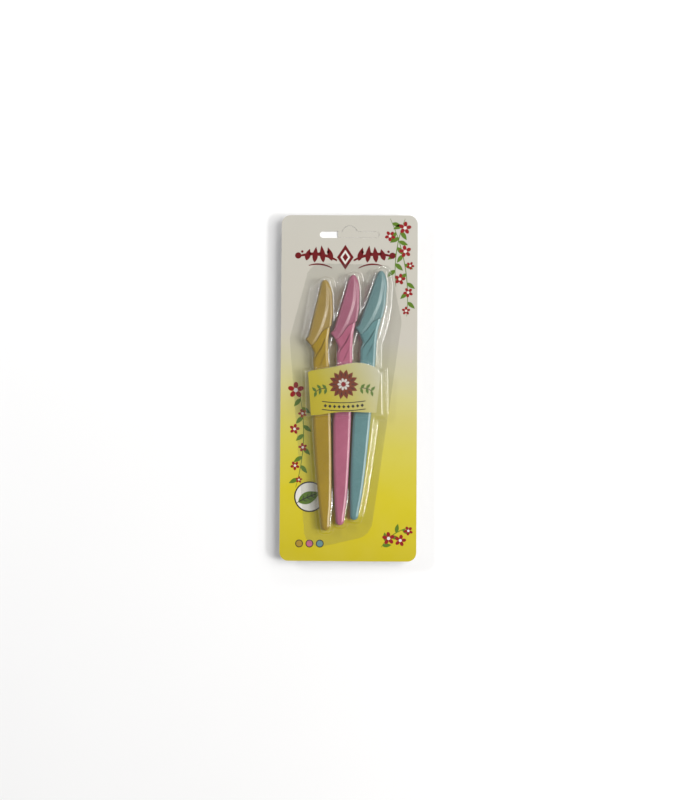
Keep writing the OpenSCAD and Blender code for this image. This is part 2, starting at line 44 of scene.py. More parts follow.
# ---------------------------------------------------------------- sizes, as in the part's source
CARD_T = 0.5
HANDLE_L, HANDLE_W, HANDLE_T = 122.0, 10.5, 4.6
HANDLE_BEVEL_W, HANDLE_BEVEL_H, BUTT_R = 1.4, 0.8, 2.8
GROOVE_W, GROOVE_D = 0.7, 0.35
CAP_L, CAP_W, CAP_T, CAP_WALL = 36.0, 12.3, 5.6, 1.0
BLADE_ANGLE, LIP_GAP = 15.5, 0.2
BLADE_L, BLADE_W, BLADE_T, BLADE_INSET, BLADE_START = 28.0, 3.0, 0.25, 1.7, 1.5
COVER_T, COVER_GAP, TONGUE_T, TONGUE_GAP = 0.15, 0.08, 2.8, 0.35
PIN_R, PIN_INSET, PIN_SHARES = 0.45, 0.95, (0.2, 0.8)
FILM_T, POCKET_GAP, OUTER_GAP, POCKET_HEAD = 0.3, 0.9, 2.5, 0.5
POCKET_DRAFT, POCKET_SHOULDER, TIP_GAP, TIP_SIDE_GAP = 0.28, 1.2, 1.0, 3.6
FLANGE_W, FLANGE_TIP_W, FLANGE_SPINE_W = 9.6, 4.2, 11.4
INSERT_W, INSERT_H, INSERT_SHIFT = 43.3, 25.8, 1.1
INSERT_TILT, INSERT_T, INSERT_RISE = 1.0, 0.4, 2.2
INSERT_GAP, INSERT_PLAY, INSERT_END_GAP = 1.1, 0.8, 0.7
FAN_GAP, BUTT_GAP, BUTT_STEP, FAN_TILT, FAN_X, FAN_DROP = 0.9, 1.2, 3.2, 0.9, -5.0, 82.4
SEAT_GAP, CAP_SIDE_GAP = 0.1, 1.4
FACE_Z = CARD_T
RAZOR_Z = FACE_Z + SEAT_GAP + CAP_T / 2
CAP_TOP_Z = RAZOR_Z + CAP_T / 2
INSERT_Z = RAZOR_Z + HANDLE_T / 2 + 2 * SEAT_GAP
INSERT_TOP_Z = INSERT_Z + INSERT_RISE + INSERT_T
INSERT_X = FAN_X + FAN_DROP * math.tan(math.radians(FAN_TILT)) + INSERT_SHIFT
INSERT_Y = -16.55

HANDLE_LEFT = [
    (0, -0.20), (0.05, -0.238), (0.123, -0.311), (0.27, -0.398), (0.40, -0.45), (0.516, -0.476),
    (0.656, -0.42), (0.787, -0.333), (0.838, -0.36), (0.87, -0.279), (0.887, -0.352),
    (0.907, -0.467), (0.925, -0.54), (0.97, -0.50), (1.05, -0.45)]
HANDLE_RIGHT = [
    (0, 0.24), (0.05, 0.276), (0.123, 0.375), (0.27, 0.46), (0.516, 0.524), (0.787, 0.538),
    (0.861, 0.514), (0.913, 0.533), (0.938, 0.552), (0.972, 0.633), (1.0, 0.68), (1.05, 0.74)]
CAP_CORNER = (-0.59, 0.951)
CAP_LEFT = [
    (-0.14, 0.27), (-0.12, 0.17), (-0.097, 0.07), (-0.08, 0), (-0.062, -0.076), (-0.045, -0.096),
    (-0.03, -0.085), (-0.012, -0.045), (0.01, -0.008), (0.03, 0), (0.5, 0), (0.90, 0),
    (0.955, 0.03), (0.985, 0.09), (1, 0.17)]
CAP_RIDGE = [
    (-0.14, 0.30), (-0.05, 0.387), (0.04, 0.447), (0.17, 0.525), (0.32, 0.57), (0.47, 0.588),
    (0.605, 0.546), (0.77, 0.452), (0.90, 0.36), (0.965, 0.26), (1, 0.19)]
RIDGE_INNER = 0.32
CAP_RIGHT = [
    (-0.14, 1.10), (0.20, 1.04), (0.34, 0.976), (0.47, 0.903), (0.635, 0.772), (0.795, 0.634),
    (0.90, 0.49), (0.955, 0.37), (0.985, 0.28), (1, 0.20)]
LIP = [
    (-0.20, -0.02), (-0.076, -0.062), (0.057, -0.101), (0.187, -0.127), (0.29, -0.12),
    (0.39, -0.07), (0.49, 0.01), (0.575, 0.105), (0.66, 0.165), (0.80, 0.215), (0.92, 0.255),
    (1.008, 0.29), (1.20, 0.31)]
CAP_THICK = [(-0.14, 1), (0.85, 1), (0.94, 0.93), (0.98, 0.78), (1, 0.55)]
GROOVES = [
    (1.0, [(0.838, -0.28), (0.865, -0.10), (0.895, 0.13), (0.938, 0.36)]),
    (0.6, [(0.806, 0.01), (0.82, 0.10), (0.84, 0.20), (0.87, 0.35)])]
# Rings of a handle's pocket, with a slightly higher roof over the shoulder than the part's
HANDLE_POCKET = [
    (0, 1, 0.5, 0.6, 0.06), (0, 1, 0, 0.8, 0.8), (0.02, 0, 0, 1, 0.9), (0.123, 0, 0, 1, 0.9),
    (0.27, 0, 0, 1, 0.9), (0.4, 0, 0, 1, 0.9), (0.516, 0, 0, 1, 0.91), (0.656, 0, 0, 1, 0.94),
    (0.787, 0, 0, 1, 0.97), (0.85, 0, 0, 1, 1), (0.89, 0, 0, 1, 1), (0.93, 0, 0, 1, 1),
    (0.96, 0, 0, 1, 1), (0.98, 0, 0, 0.9, 0.8), (1, 0, 0, 0.6, 0.06)]
CAP_POCKET = [
    (-0.15, -1, -0.9, 0.8, 0.1, 0.06), (-0.15, 0, 0, 0.5, 0, 0.8), (-0.09, 0, 0, 0.15, 0, 1),
    (-0.03, 0, 0, 0, 0, 1), (0.1, 0, 0, 0, 0, 1), (0.2, 0, 0, 0, 0, 1), (0.34, 0, 0, 0, 0, 1),
    (0.47, 0, 0, 0, 0, 1), (0.635, 0, 0, 0, 0, 1), (0.795, 0, 0, 0, 0, 1),
    (0.87, 0, 0, 0.12, 0, 1), (0.94, 0, 0, 0.55, 0, 1), (0.985, 0, 0, 1.1, 0.02, 1),
    (1, 0.5, 0, 1.5, 0.06, 0.96), (1, 1, 0, 1.7, 0.1, 0.8), (1, 1, 0.5, 1.6, 0.06, 0.06)]
CAP_LEAN = [
    (-0.15, 0), (-0.05, 0), (0.03, 0.28), (0.1, 0.4), (0.34, 0.58), (0.795, 0.9), (0.87, 0.8),
    (0.94, 0.45), (1, 0)]
INSERT_TOP = [
    (-0.49, 1.0), (-0.461, 1.029), (-0.391, 1.047), (-0.252, 1.081), (-0.114, 1.119),
    (0.024, 1.166), (0.148, 1.20), (0.196, 1.203), (0.244, 1.195), (0.299, 1.178),
    (0.402, 1.123), (0.483, 1.041), (0.511, 0.95)]
OUTER_WALL = [(0, 0), (0.2, 0.35), (0.5, 1), (0.66, 1), (0.8, 0.3), (0.9, 0), (1, 0)]


def curve(table, x):
    """The smooth curve through a table of rows that part.scad uses, at one place or an array."""
    t = np.array(table, float)
    x = np.asarray(x, float)
    n = len(t)
    lo = np.maximum(np.arange(n) - 1, 0)
    hi = np.minimum(np.arange(n) + 1, n - 1)
    m = (t[hi, 1] - t[lo, 1]) / (t[hi, 0] - t[lo, 0])
    i = np.clip(np.searchsorted(t[:, 0], x, side="right") - 1, 0, n - 2)
    w = t[i + 1, 0] - t[i, 0]
    s = (x - t[i, 0]) / w
    b = s * s * (3 - 2 * s)
    return (t[i, 1] * (1 - b) + t[i + 1, 1] * b
            + m[i] * w * s * (1 - s) ** 2 - m[i + 1] * w * s * s * (1 - s))


# ---------------------------------------------------------------- places of the three razors
BUTT_W = HANDLE_W * (HANDLE_RIGHT[2][1] - HANDLE_LEFT[2][1])
FAN_PITCH = BUTT_W + BUTT_GAP
HOOK_Y = HANDLE_L * CAP_CORNER[1] + CAP_L * CAP_LEFT[5][0]
HOOK_REACH = -HANDLE_W * CAP_CORNER[0] - CAP_W * CAP_LEFT[5][1]
NECK_REACH = HANDLE_W * HANDLE_RIGHT[9][1]
TILT_STEP = math.degrees(math.atan((HOOK_REACH + NECK_REACH + FAN_GAP - FAN_PITCH) / HOOK_Y))


def at_razor(i):
    k = i - 1
    return (Matrix.Translation((FAN_X + k * FAN_PITCH, k * BUTT_STEP - FAN_DROP, 0))
            @ Matrix.Rotation(math.radians(-FAN_TILT - k * TILT_STEP), 4, "Z"))


AT_CAP = (Matrix.Translation((HANDLE_W * CAP_CORNER[0], HANDLE_L * CAP_CORNER[1], 0))
          @ Matrix.Rotation(math.radians(-BLADE_ANGLE), 4, "Z"))
AT_INSERT = (Matrix.Translation((INSERT_X, INSERT_Y, 0))
             @ Matrix.Rotation(math.radians(INSERT_TILT), 4, "Z"))


def moved(points, matrix):
    p = np.asarray(points, float)
    m = np.array(matrix)
    return p @ m[:3, :3].T + m[:3, 3]


# ---------------------------------------------------------------- mesh helpers
CORNER_POINTS = 5


def linked(name, data):
    """A new object with this data, in the scene."""
    ob = bpy.data.objects.new(name, data)
    bpy.context.scene.collection.objects.link(ob)
    return ob


def dress(ob, mat):
    """Gives the object this material alone."""
    ob.data.materials.clear()
    ob.data.materials.append(mat)


def new_object(name, points_mm, faces, smooth=True):
    mesh = bpy.data.meshes.new(name)
    mesh.from_pydata([tuple(p) for p in np.asarray(points_mm, float) * MM], [], faces)
    mesh.validate()
    bm = bmesh.new()
    bm.from_mesh(mesh)
    bmesh.ops.recalc_face_normals(bm, faces=bm.faces)
    bm.to_mesh(mesh)
    bm.free()
    if smooth:
        mesh.shade_smooth()
    return linked(name, mesh)


def tube_faces(rows, n):
    """Faces of a tube through rows of n points, closed at both ends."""
    faces = []
    for i in range(rows - 1):
        for j in range(n):
            a, b = i * n + j, i * n + (j + 1) % n
            faces.append((a, b, b + n, a + n))
    faces.append(tuple(range(n - 1, -1, -1)))
    faces.append(tuple((rows - 1) * n + j for j in range(n)))
    return faces


def prism(outline, z0, z1):
    p = np.asarray(outline, float)
    n = len(p)
    pts = np.vstack([np.c_[p, np.full(n, z0)], np.c_[p, np.full(n, z1)]])
    faces = [tuple(range(n - 1, -1, -1)), tuple(range(n, 2 * n))]
    faces += [(j, (j + 1) % n, (j + 1) % n + n, j + n) for j in range(n)]
    return pts, faces


def join_shapes(shapes):
    pts, faces, k = [], [], 0
    for p, f in shapes:
        pts.append(p)
        faces += [tuple(v + k for v in face) for face in f]
        k += len(p)
    return np.vstack(pts), faces


def cut(target, cutter):
    """Takes the cutter's volume off the target and removes the cutter."""
    mod = target.modifiers.new("cut", "BOOLEAN")
    mod.operation = "DIFFERENCE"
    mod.solver = "EXACT"
    mod.object = cutter
    dg = bpy.context.evaluated_depsgraph_get()
    mesh = bpy.data.meshes.new_from_object(target.evaluated_get(dg))
    target.modifiers.clear()
    target.data = mesh
    bpy.data.objects.remove(cutter, do_unlink=True)


def soft_edges(mesh, angle):
    """Smooth shading that stays sharp at edges steeper than the angle."""
    mesh.shade_smooth()
    mesh.set_sharp_from_angle(angle=math.radians(angle))


def rounded(corners, radii):
    """A closed outline in X and Z with its corners rounded, each by its own radius."""
    c = np.asarray(corners, float)
    out = []
    for k in range(len(c)):
        p, a, b = c[k], c[k - 1] - c[k], c[(k + 1) % len(c)] - c[k]
        la, lb = np.linalg.norm(a), np.linalg.norm(b)
        d = min(radii[k], 0.42 * la, 0.42 * lb)
        p0, p1 = p + a / la * d, p + b / lb * d
        for q in np.linspace(0, 1, CORNER_POINTS):
            out.append((1 - q) ** 2 * p0 + 2 * q * (1 - q) * p + q * q * p1)
    return np.array(out)


# ---------------------------------------------------------------- material helpers
def material(name):
    mat = bpy.data.materials.new(name)
    mat.use_nodes = True
    nt = mat.node_tree
    nt.nodes.clear()
    out = nt.nodes.new("ShaderNodeOutputMaterial")
    return mat, nt, out


def srgb(r, g, b):
    def lin(c):
        c = c / 255.0
        return c / 12.92 if c <= 0.04045 else ((c + 0.055) / 1.055) ** 2.4
    return (lin(r), lin(g), lin(b), 1.0)


def ramp(nt, stops):
    n = nt.nodes.new("ShaderNodeValToRGB")
    e = n.color_ramp.elements
    while len(e) > 1:
        e.remove(e[-1])
    e[0].position, e[0].color = stops[0]
    for pos, col in stops[1:]:
        k = e.new(pos)
        k.color = col
    return n


def bump(nt, height, strength, distance, normal=None):
    n = nt.nodes.new("ShaderNodeBump")
    n.inputs["Strength"].default_value = strength
    n.inputs["Distance"].default_value = distance
    nt.links.new(height, n.inputs["Height"])
    if normal is not None:
        nt.links.new(normal, n.inputs["Normal"])
    return n


def noise(nt, vector, scale, detail=3.0, rough=0.5):
    n = nt.nodes.new("ShaderNodeTexNoise")
    n.inputs["Scale"].default_value = scale
    n.inputs["Detail"].default_value = detail
    n.inputs["Roughness"].default_value = rough
    nt.links.new(vector, n.inputs["Vector"])
    return n


def map_range(nt, value, a, b, c, d):
    n = nt.nodes.new("ShaderNodeMapRange")
    for key, v in zip(("From Min", "From Max", "To Min", "To Max"), (a, b, c, d)):
        n.inputs[key].default_value = v
    nt.links.new(value, n.inputs["Value"])
    return n


def maths(nt, operation, *values):
    n = nt.nodes.new("ShaderNodeMath")
    n.operation = operation
    for sock, v in zip(n.inputs, values):
        if isinstance(v, bpy.types.NodeSocket):
            nt.links.new(v, sock)
        else:
            sock.default_value = v
    return n.outputs[0]


def mix_colour(nt, fac, a, b):
    n = nt.nodes.new("ShaderNodeMix")
    n.data_type = "RGBA"
    for sock, v in ((n.inputs[0], fac), (n.inputs[6], a), (n.inputs[7], b)):
        if isinstance(v, bpy.types.NodeSocket):
            nt.links.new(v, sock)
        else:
            sock.default_value = v
    return n.outputs[2]


def plastic(name, base, deep):
    """Glossy moulded plastic: faint flow marks, fine grain and a little light passing in."""
    mat, nt, out = material(name)
    co = nt.nodes.new("ShaderNodeTexCoord").outputs["Object"]
    flow = noise(nt, co, 90.0, 4.0, 0.6)
    fine = noise(nt, co, 2600.0, 2.0, 0.5)
    b = nt.nodes.new("ShaderNodeBsdfPrincipled")
    nt.links.new(mix_colour(nt, map_range(nt, flow.outputs[0], 0.35, 0.65, 0.0, 1.0).outputs[0],
                            deep, base), b.inputs["Base Color"])
    nt.links.new(map_range(nt, fine.outputs[0], 0.3, 0.7, 0.24, 0.34).outputs[0],
                 b.inputs["Roughness"])
    b.inputs["IOR"].default_value = 1.49
    b.inputs["Subsurface Weight"].default_value = 0.1
    b.inputs["Subsurface Radius"].default_value = (0.9, 0.7, 0.5)
    b.inputs["Subsurface Scale"].default_value = 0.0012
    waves = bump(nt, flow.outputs[0], 0.25, 0.00004)
    grain = bump(nt, fine.outputs[0], 0.12, 0.000012, waves.outputs[0])
    nt.links.new(grain.outputs[0], b.inputs["Normal"])
    nt.links.new(b.outputs[0], out.inputs[0])
    return mat


def steel(name, base, along):
    """Brushed strip steel with fine lines along one direction."""
    mat, nt, out = material(name)
    co = nt.nodes.new("ShaderNodeTexCoord").outputs["Object"]
    turn = nt.nodes.new("ShaderNodeMapping")
    turn.inputs["Rotation"].default_value = (0, 0, math.radians(along))
    turn.inputs["Scale"].default_value = (2600.0, 120.0, 2600.0)
    nt.links.new(co, turn.inputs["Vector"])
    lines = noise(nt, turn.outputs[0], 1.0, 3.0, 0.6)
    b = nt.nodes.new("ShaderNodeBsdfPrincipled")
    b.inputs["Metallic"].default_value = 1.0
    nt.links.new(mix_colour(nt, lines.outputs[0], tuple(0.8 * c for c in base[:3]) + (1,), base),
                 b.inputs["Base Color"])
    nt.links.new(map_range(nt, lines.outputs[0], 0.3, 0.7, 0.2, 0.36).outputs[0],
                 b.inputs["Roughness"])
    nt.links.new(bump(nt, lines.outputs[0], 0.2, 0.00001).outputs[0], b.inputs["Normal"])
    nt.links.new(b.outputs[0], out.inputs[0])
    return mat


def coated_board(name, face_colour, core, back):
    """Coated board: printed on its face, pale and fibrous at its edges and on its back."""
    mat, nt, out = material(name)
    co = nt.nodes.new("ShaderNodeTexCoord").outputs["Object"]
    geo = nt.nodes.new("ShaderNodeNewGeometry")
    nz = nt.nodes.new("ShaderNodeSeparateXYZ")
    nt.links.new(geo.outputs["Normal"], nz.inputs[0])
    fibre = noise(nt, co, 900.0, 5.0, 0.65)
    mottle = noise(nt, co, 60.0, 3.0, 0.5)
    printed = face_colour(nt, co)
    dots = noise(nt, co, 4200.0, 1.0, 0.5)
    grain = map_range(nt, dots.outputs[0], 0.3, 0.7, 0.0, 0.05).outputs[0]
    printed = mix_colour(nt, grain, printed, (0.25, 0.22, 0.15, 1))
    cloud = map_range(nt, mottle.outputs[0], 0.3, 0.7, 0.0, 0.014).outputs[0]
    printed = mix_colour(nt, cloud, printed, (1, 1, 1, 1))
    plain = mix_colour(nt, fibre.outputs[0], tuple(0.82 * c for c in back[:3]) + (1,), back)
    edge = mix_colour(nt, fibre.outputs[0], tuple(0.8 * c for c in core[:3]) + (1,), core)
    up = map_range(nt, nz.outputs[2], 0.4, 0.6, 0.0, 1.0).outputs[0]
    down = map_range(nt, nz.outputs[2], -0.4, -0.6, 0.0, 1.0).outputs[0]
    colour = mix_colour(nt, down, mix_colour(nt, up, edge, printed), plain)
    b = nt.nodes.new("ShaderNodeBsdfPrincipled")
    nt.links.new(colour, b.inputs["Base Color"])
    nt.links.new(map_range(nt, up, 0.0, 1.0, 0.75, 0.36).outputs[0], b.inputs["Roughness"])
    b.inputs["Specular IOR Level"].default_value = 0.45
    nt.links.new(bump(nt, fibre.outputs[0], 0.16, 0.00003,
                      bump(nt, mottle.outputs[0], 0.2, 0.0001).outputs[0]).outputs[0],
                 b.inputs["Normal"])
    nt.links.new(b.outputs[0], out.inputs[0])
    return mat


def ink(name, colour, darker):
    """Printing ink on coated board."""
    mat, nt, out = material(name)
    co = nt.nodes.new("ShaderNodeTexCoord").outputs["Object"]
    n = noise(nt, co, 1800.0, 2.0, 0.6)
    b = nt.nodes.new("ShaderNodeBsdfPrincipled")
    nt.links.new(mix_colour(nt, map_range(nt, n.outputs[0], 0.4, 0.7, 0.0, 0.5).outputs[0],
                            colour, darker), b.inputs["Base Color"])
    nt.links.new(map_range(nt, n.outputs[0], 0.3, 0.7, 0.32, 0.42).outputs[0],
                 b.inputs["Roughness"])
    nt.links.new(b.outputs[0], out.inputs[0])
    return mat


# Gain and limit of the film's mirroring, for its two faces, and the share of haze in it
FILM_GLOSS, FILM_GLOSS_MOST, FILM_VEIL = 2.4, 0.15, 0.01


def clear_film():
    """Thin clear film: lets light straight through, mirrors at its bends, darker where steep."""
    mat, nt, out = material("clear_film")
    co = nt.nodes.new("ShaderNodeTexCoord").outputs["Object"]
    wave = noise(nt, co, 140.0, 2.0, 0.5)
    haze = noise(nt, co, 700.0, 3.0, 0.6)
    waves = bump(nt, wave.outputs[0], 0.3, 0.00016)
    facing = nt.nodes.new("ShaderNodeLayerWeight")
    facing.inputs["Blend"].default_value = 0.5
    clear = nt.nodes.new("ShaderNodeBsdfTransparent")
    steep = ramp(nt, [(0.0, (0.905, 0.91, 0.9, 1)), (0.4, (0.89, 0.895, 0.88, 1)),
                      (0.7, (0.82, 0.82, 0.8, 1)), (1.0, (0.6, 0.6, 0.58, 1))])
    nt.links.new(facing.outputs["Facing"], steep.inputs[0])
    nt.links.new(steep.outputs[0], clear.inputs[0])
    shine = nt.nodes.new("ShaderNodeBsdfGlossy")
    shine.inputs["Color"].default_value = (1, 1, 1, 1)
    nt.links.new(map_range(nt, haze.outputs[0], 0.3, 0.7, 0.1, 0.17).outputs[0],
                 shine.inputs["Roughness"])
    nt.links.new(waves.outputs[0], shine.inputs["Normal"])
    fres = nt.nodes.new("ShaderNodeFresnel")
    fres.inputs["IOR"].default_value = 1.52
    nt.links.new(waves.outputs[0], fres.inputs["Normal"])
    gloss = maths(nt, "MINIMUM", maths(nt, "MULTIPLY", fres.outputs[0], FILM_GLOSS),
                  FILM_GLOSS_MOST)
    milky = nt.nodes.new("ShaderNodeBsdfDiffuse")
    milky.inputs["Color"].default_value = (0.9, 0.92, 0.93, 1)
    veil = nt.nodes.new("ShaderNodeMixShader")
    veil.inputs[0].default_value = FILM_VEIL
    nt.links.new(clear.outputs[0], veil.inputs[1])
    nt.links.new(milky.outputs[0], veil.inputs[2])
    mix = nt.nodes.new("ShaderNodeMixShader")
    nt.links.new(gloss, mix.inputs[0])
    nt.links.new(veil.outputs[0], mix.inputs[1])
    nt.links.new(shine.outputs[0], mix.inputs[2])
    lamp = nt.nodes.new("ShaderNodeBsdfTransparent")
    lamp.inputs["Color"].default_value = (0.96, 0.96, 0.955, 1)
    path = nt.nodes.new("ShaderNodeLightPath")
    last = nt.nodes.new("ShaderNodeMixShader")
    nt.links.new(path.outputs["Is Shadow Ray"], last.inputs[0])
    nt.links.new(mix.outputs[0], last.inputs[1])
    nt.links.new(lamp.outputs[0], last.inputs[2])
    nt.links.new(last.outputs[0], out.inputs[0])
    return mat


TINTS = [
    ("yellow", plastic("yellow_plastic", srgb(166, 136, 10), srgb(155, 126, 6)),
     plastic("yellow_cap_plastic", srgb(158, 132, 61), srgb(148, 123, 54))),
    ("pink", plastic("pink_plastic", srgb(180, 99, 126), srgb(170, 90, 117)),
     plastic("pink_cap_plastic", srgb(163, 95, 118), srgb(153, 87, 109))),
    ("teal", plastic("teal_plastic", srgb(101, 142, 144), srgb(92, 132, 135)),
     plastic("teal_cap_plastic", srgb(104, 138, 139), srgb(96, 129, 131)))]
FILM = clear_film()

# ---------------------------------------------------------------- handles
# Left edge of the tongue, and free space round the blade in the tongue's slit
TONGUE_LEFT, SLIT_GAP = BLADE_INSET + 1.3, 0.15
# Share of its thickness that the butt loses at its end, and radii of a ring's corners
BUTT_THIN = 0.45
RING_RADII = [1.1, 0.4, 0.3, 0.3, 0.3, 0.3, 0.4, 1.1]
# How much wider and deeper than in the part the grooves are drawn
GROOVE_WIDER, GROOVE_DEEPER = 1.2, 2.2


def handle_loft():
    turns = np.radians(np.linspace(7, 90, 12))
    y_butt = BUTT_R * (1 - np.cos(turns))
    fills = np.sin(turns)
    ys = list(np.linspace(BUTT_R + 1.2, 1.05 * HANDLE_L, 104))
    rows = []
    for y, f in list(zip(y_butt, fills)) + [(y, 1.0) for y in ys]:
        s = max(y, BUTT_R) / HANDLE_L
        half = HANDLE_T / 2 * (1 - BUTT_THIN + BUTT_THIN * f)
        left, right = HANDLE_W * curve(HANDLE_LEFT, s) * f, HANDLE_W * curve(HANDLE_RIGHT, s) * f
        bw = HANDLE_BEVEL_W * f
        e = half - HANDLE_BEVEL_H
        ring = rounded([(left, -e), (left + bw, -half), (right - bw, -half), (right, -e),
                        (right, e), (right - bw, half), (left + bw, half), (left, e)],
                       RING_RADII)
        rows.append(np.c_[ring[:, 0], np.full(len(ring), y), ring[:, 1]])
    return np.vstack(rows), tube_faces(len(rows), len(rows[0]))


def lip_outline(shift, far):
    """The region past the cap's lip, moved along by a gap."""
    v = np.linspace(LIP[0][0], LIP[-1][0], 120)
    edge = np.c_[CAP_W * v, CAP_L * curve(LIP, v) + shift]
    return np.vstack([edge, [[edge[-1, 0], far], [edge[0, 0], far]]])


def inner_ridge(s):
    return curve(CAP_RIDGE, np.maximum(s, RIDGE_INNER))


def tongue_shape():
    """The flat tongue that carries the blade, from the shoulder to just past the blade."""
    tip = BLADE_START + BLADE_L + 1.0
    left = TONGUE_LEFT
    v = np.linspace((left + 0.5) / CAP_W, inner_ridge(0) - TONGUE_GAP / CAP_W, 24)
    root = np.c_[CAP_W * v, CAP_L * curve(LIP, v) - 1.0]
    y = np.linspace(root[-1, 1], tip, 30)
    back = np.c_[CAP_W * inner_ridge(y / CAP_L) - TONGUE_GAP, y]
    heel = [[left, tip], [left, CAP_L * float(curve(LIP, left / CAP_W))]]
    return prism(np.vstack([heel, root, back]), -TONGUE_T / 2, TONGUE_T / 2)


def handle_mesh():
    """The whole handle in its own place: body with shoulder and grooves, tongue and pins."""
    pts, faces = handle_loft()
    body = new_object("handle_body", pts, faces)
    p, f = prism(lip_outline(-LIP_GAP, CAP_L), -CAP_T, CAP_T)
    cut(body, new_object("handle_shoulder", moved(p, AT_CAP), f))
    shapes = []
    for strength, rows in GROOVES:
        s = np.linspace(rows[0][0], rows[-1][0], 26)
        x, y = HANDLE_W * curve(rows, s), HANDLE_L * s
        half = GROOVE_WIDER * GROOVE_W * strength / 2
        half = half * (0.35 + 0.65 * np.sin(np.pi * np.linspace(0.06, 0.94, len(s))))
        outline = np.vstack([np.c_[x - half, y], np.c_[x + half, y][::-1]])
        top, deep = HANDLE_T / 2, GROOVE_DEEPER * GROOVE_D * strength
        shapes.append(prism(outline, top - deep, top + 1))
        shapes.append(prism(outline, -top - 1, deep - top))
    p, f = join_shapes(shapes)
    cut(body, new_object("handle_grooves", p, f))
    p, f = tongue_shape()
    tongue = new_object("handle_tongue", p, f)
    slit = BLADE_T / 2 + 2 * COVER_GAP + COVER_T
    x0, x1 = TONGUE_LEFT - 1, BLADE_INSET + BLADE_W + SLIT_GAP
    y0, y1 = BLADE_START - SLIT_GAP, BLADE_START + BLADE_L + SLIT_GAP
    p, f = prism([[x0, y0], [x1, y0], [x1, y1], [x0, y1]], -slit, slit)
    cut(tongue, new_object("handle_slit", p, f))
    pins = []
    a = np.linspace(0, 2 * math.pi, 24, endpoint=False)
    for share in PIN_SHARES:
        c = (BLADE_INSET + BLADE_W - PIN_INSET, BLADE_START + BLADE_L * share)
        pins.append(prism(np.c_[c[0] + PIN_R * np.cos(a), c[1] + PIN_R * np.sin(a)],
                          -TONGUE_T / 2 + 0.1, TONGUE_T / 2 - 0.1))
    p, f = join_shapes(pins)
    pin = new_object("handle_pins", p, f)
    bm = bmesh.new()
    for ob, m in ((body, Matrix.Identity(4)), (tongue, AT_CAP), (pin, AT_CAP)):
        m = m.copy()
        m.translation *= MM
        part = ob.data.copy()
        part.transform(m)
        bm.from_mesh(part)
        bpy.data.objects.remove(ob, do_unlink=True)
    mesh = bpy.data.meshes.new("handle")
    bm.to_mesh(mesh)
    bm.free()
    return mesh


# ---------------------------------------------------------------- caps
# Width and drop of the bevel at the cap's left edge, of the soft step at its ridge and of the
# bevel at its right edge
CAP_LEFT_W, CAP_LEFT_DROP = 1.1, 1.35
CAP_STEP_W, CAP_STEP = 2.2, 0.76
CAP_RIGHT_W, CAP_RIGHT_DROP = 1.3, 0.55


def smooth_step(t):
    t = np.clip(t, 0, 1)
    return t * t * (3 - 2 * t)


def cap_lines(u, inset=0.0):
    """The cap's left edge, right edge and ridge, and its share of the full thickness."""
    s = u / CAP_L
    left = CAP_W * curve(CAP_LEFT, s) + inset
    right = CAP_W * curve(CAP_RIGHT, s) - inset - 0.5 * smooth_step((0.52 - s) / 0.24)
    ridge = np.minimum(CAP_W * curve(CAP_RIDGE, s), right - 0.25 * (right - left))
    return left, right, ridge, curve(CAP_THICK, s)


def round_off(t):
    """From 1 at an edge to 0 inwards, like a quarter circle."""
    t = np.clip(t, 0, 1)
    return 1 - np.sqrt(1 - (1 - t) ** 2)


def cap_height(x, u, inset=0.0):
    """Height of the cap's face: a cambered panel, a soft step down at the ridge, then a slope
    and a bevel at the right."""
    left, right, ridge, thick = cap_lines(u, inset)
    z = (CAP_T / 2) * thick - inset
    z = z - CAP_LEFT_DROP * thick * np.clip(1 - (x - left) / CAP_LEFT_W, 0, 1) ** 1.4
    z = z - 0.12 * thick * smooth_step((left + 2.4 - x) / 2.4)
    z = z - CAP_STEP * thick * smooth_step((x - ridge + 1.3) / CAP_STEP_W)
    z = z - 0.1 * thick * np.clip((x - ridge + 2.6) / 2.6, 0, 1) ** 2
    z = z - 0.15 * thick * np.clip(x - ridge + 0.2, 0, 3.2)
    z = z - (CAP_RIGHT_DROP * thick
             * np.clip((x - right + CAP_RIGHT_W) / CAP_RIGHT_W, 0, 1) ** 1.25)
    return np.maximum(z - 0.35 * round_off((right - x) / 0.4), 0.05)


def cap_rings(count, points, inset=0.0, start=0.0, tip_back=0.0, lips=()):
    """Rings of the cap that follow its lip at the open end and flatten towards its tip."""
    q = (1 - np.cos(np.linspace(0, math.pi, points))) / 2
    q = 0.35 * np.linspace(0, 1, points) + 0.65 * q
    tip = CAP_L - tip_back
    rows = []
    plan = [(lift, draw, 0.0) for lift, draw in lips]
    plan += [(start, 0.0, s) for s in np.linspace(0, 1, count) ** 0.92]
    for lift, draw, s in plan:
        u = np.full(points, 10.0)
        for _ in range(70):
            left, right = cap_lines(u, inset)[:2]
            x = left + (right - left) * q
            base = CAP_L * curve(LIP, np.clip(x / CAP_W, LIP[0][0], LIP[-1][0])) + lift
            u = 0.7 * u + 0.3 * (base + (tip - base) * s)
        u = np.minimum(u, tip)
        left, right = cap_lines(u, inset)[:2]
        x = left + (right - left) * q
        z = cap_height(x, u, inset) - draw
        x = np.clip(x, left + draw, right - draw)
        rows.append(np.vstack([np.c_[x, u, z], np.c_[x, u, -z][::-1]]))
    return rows


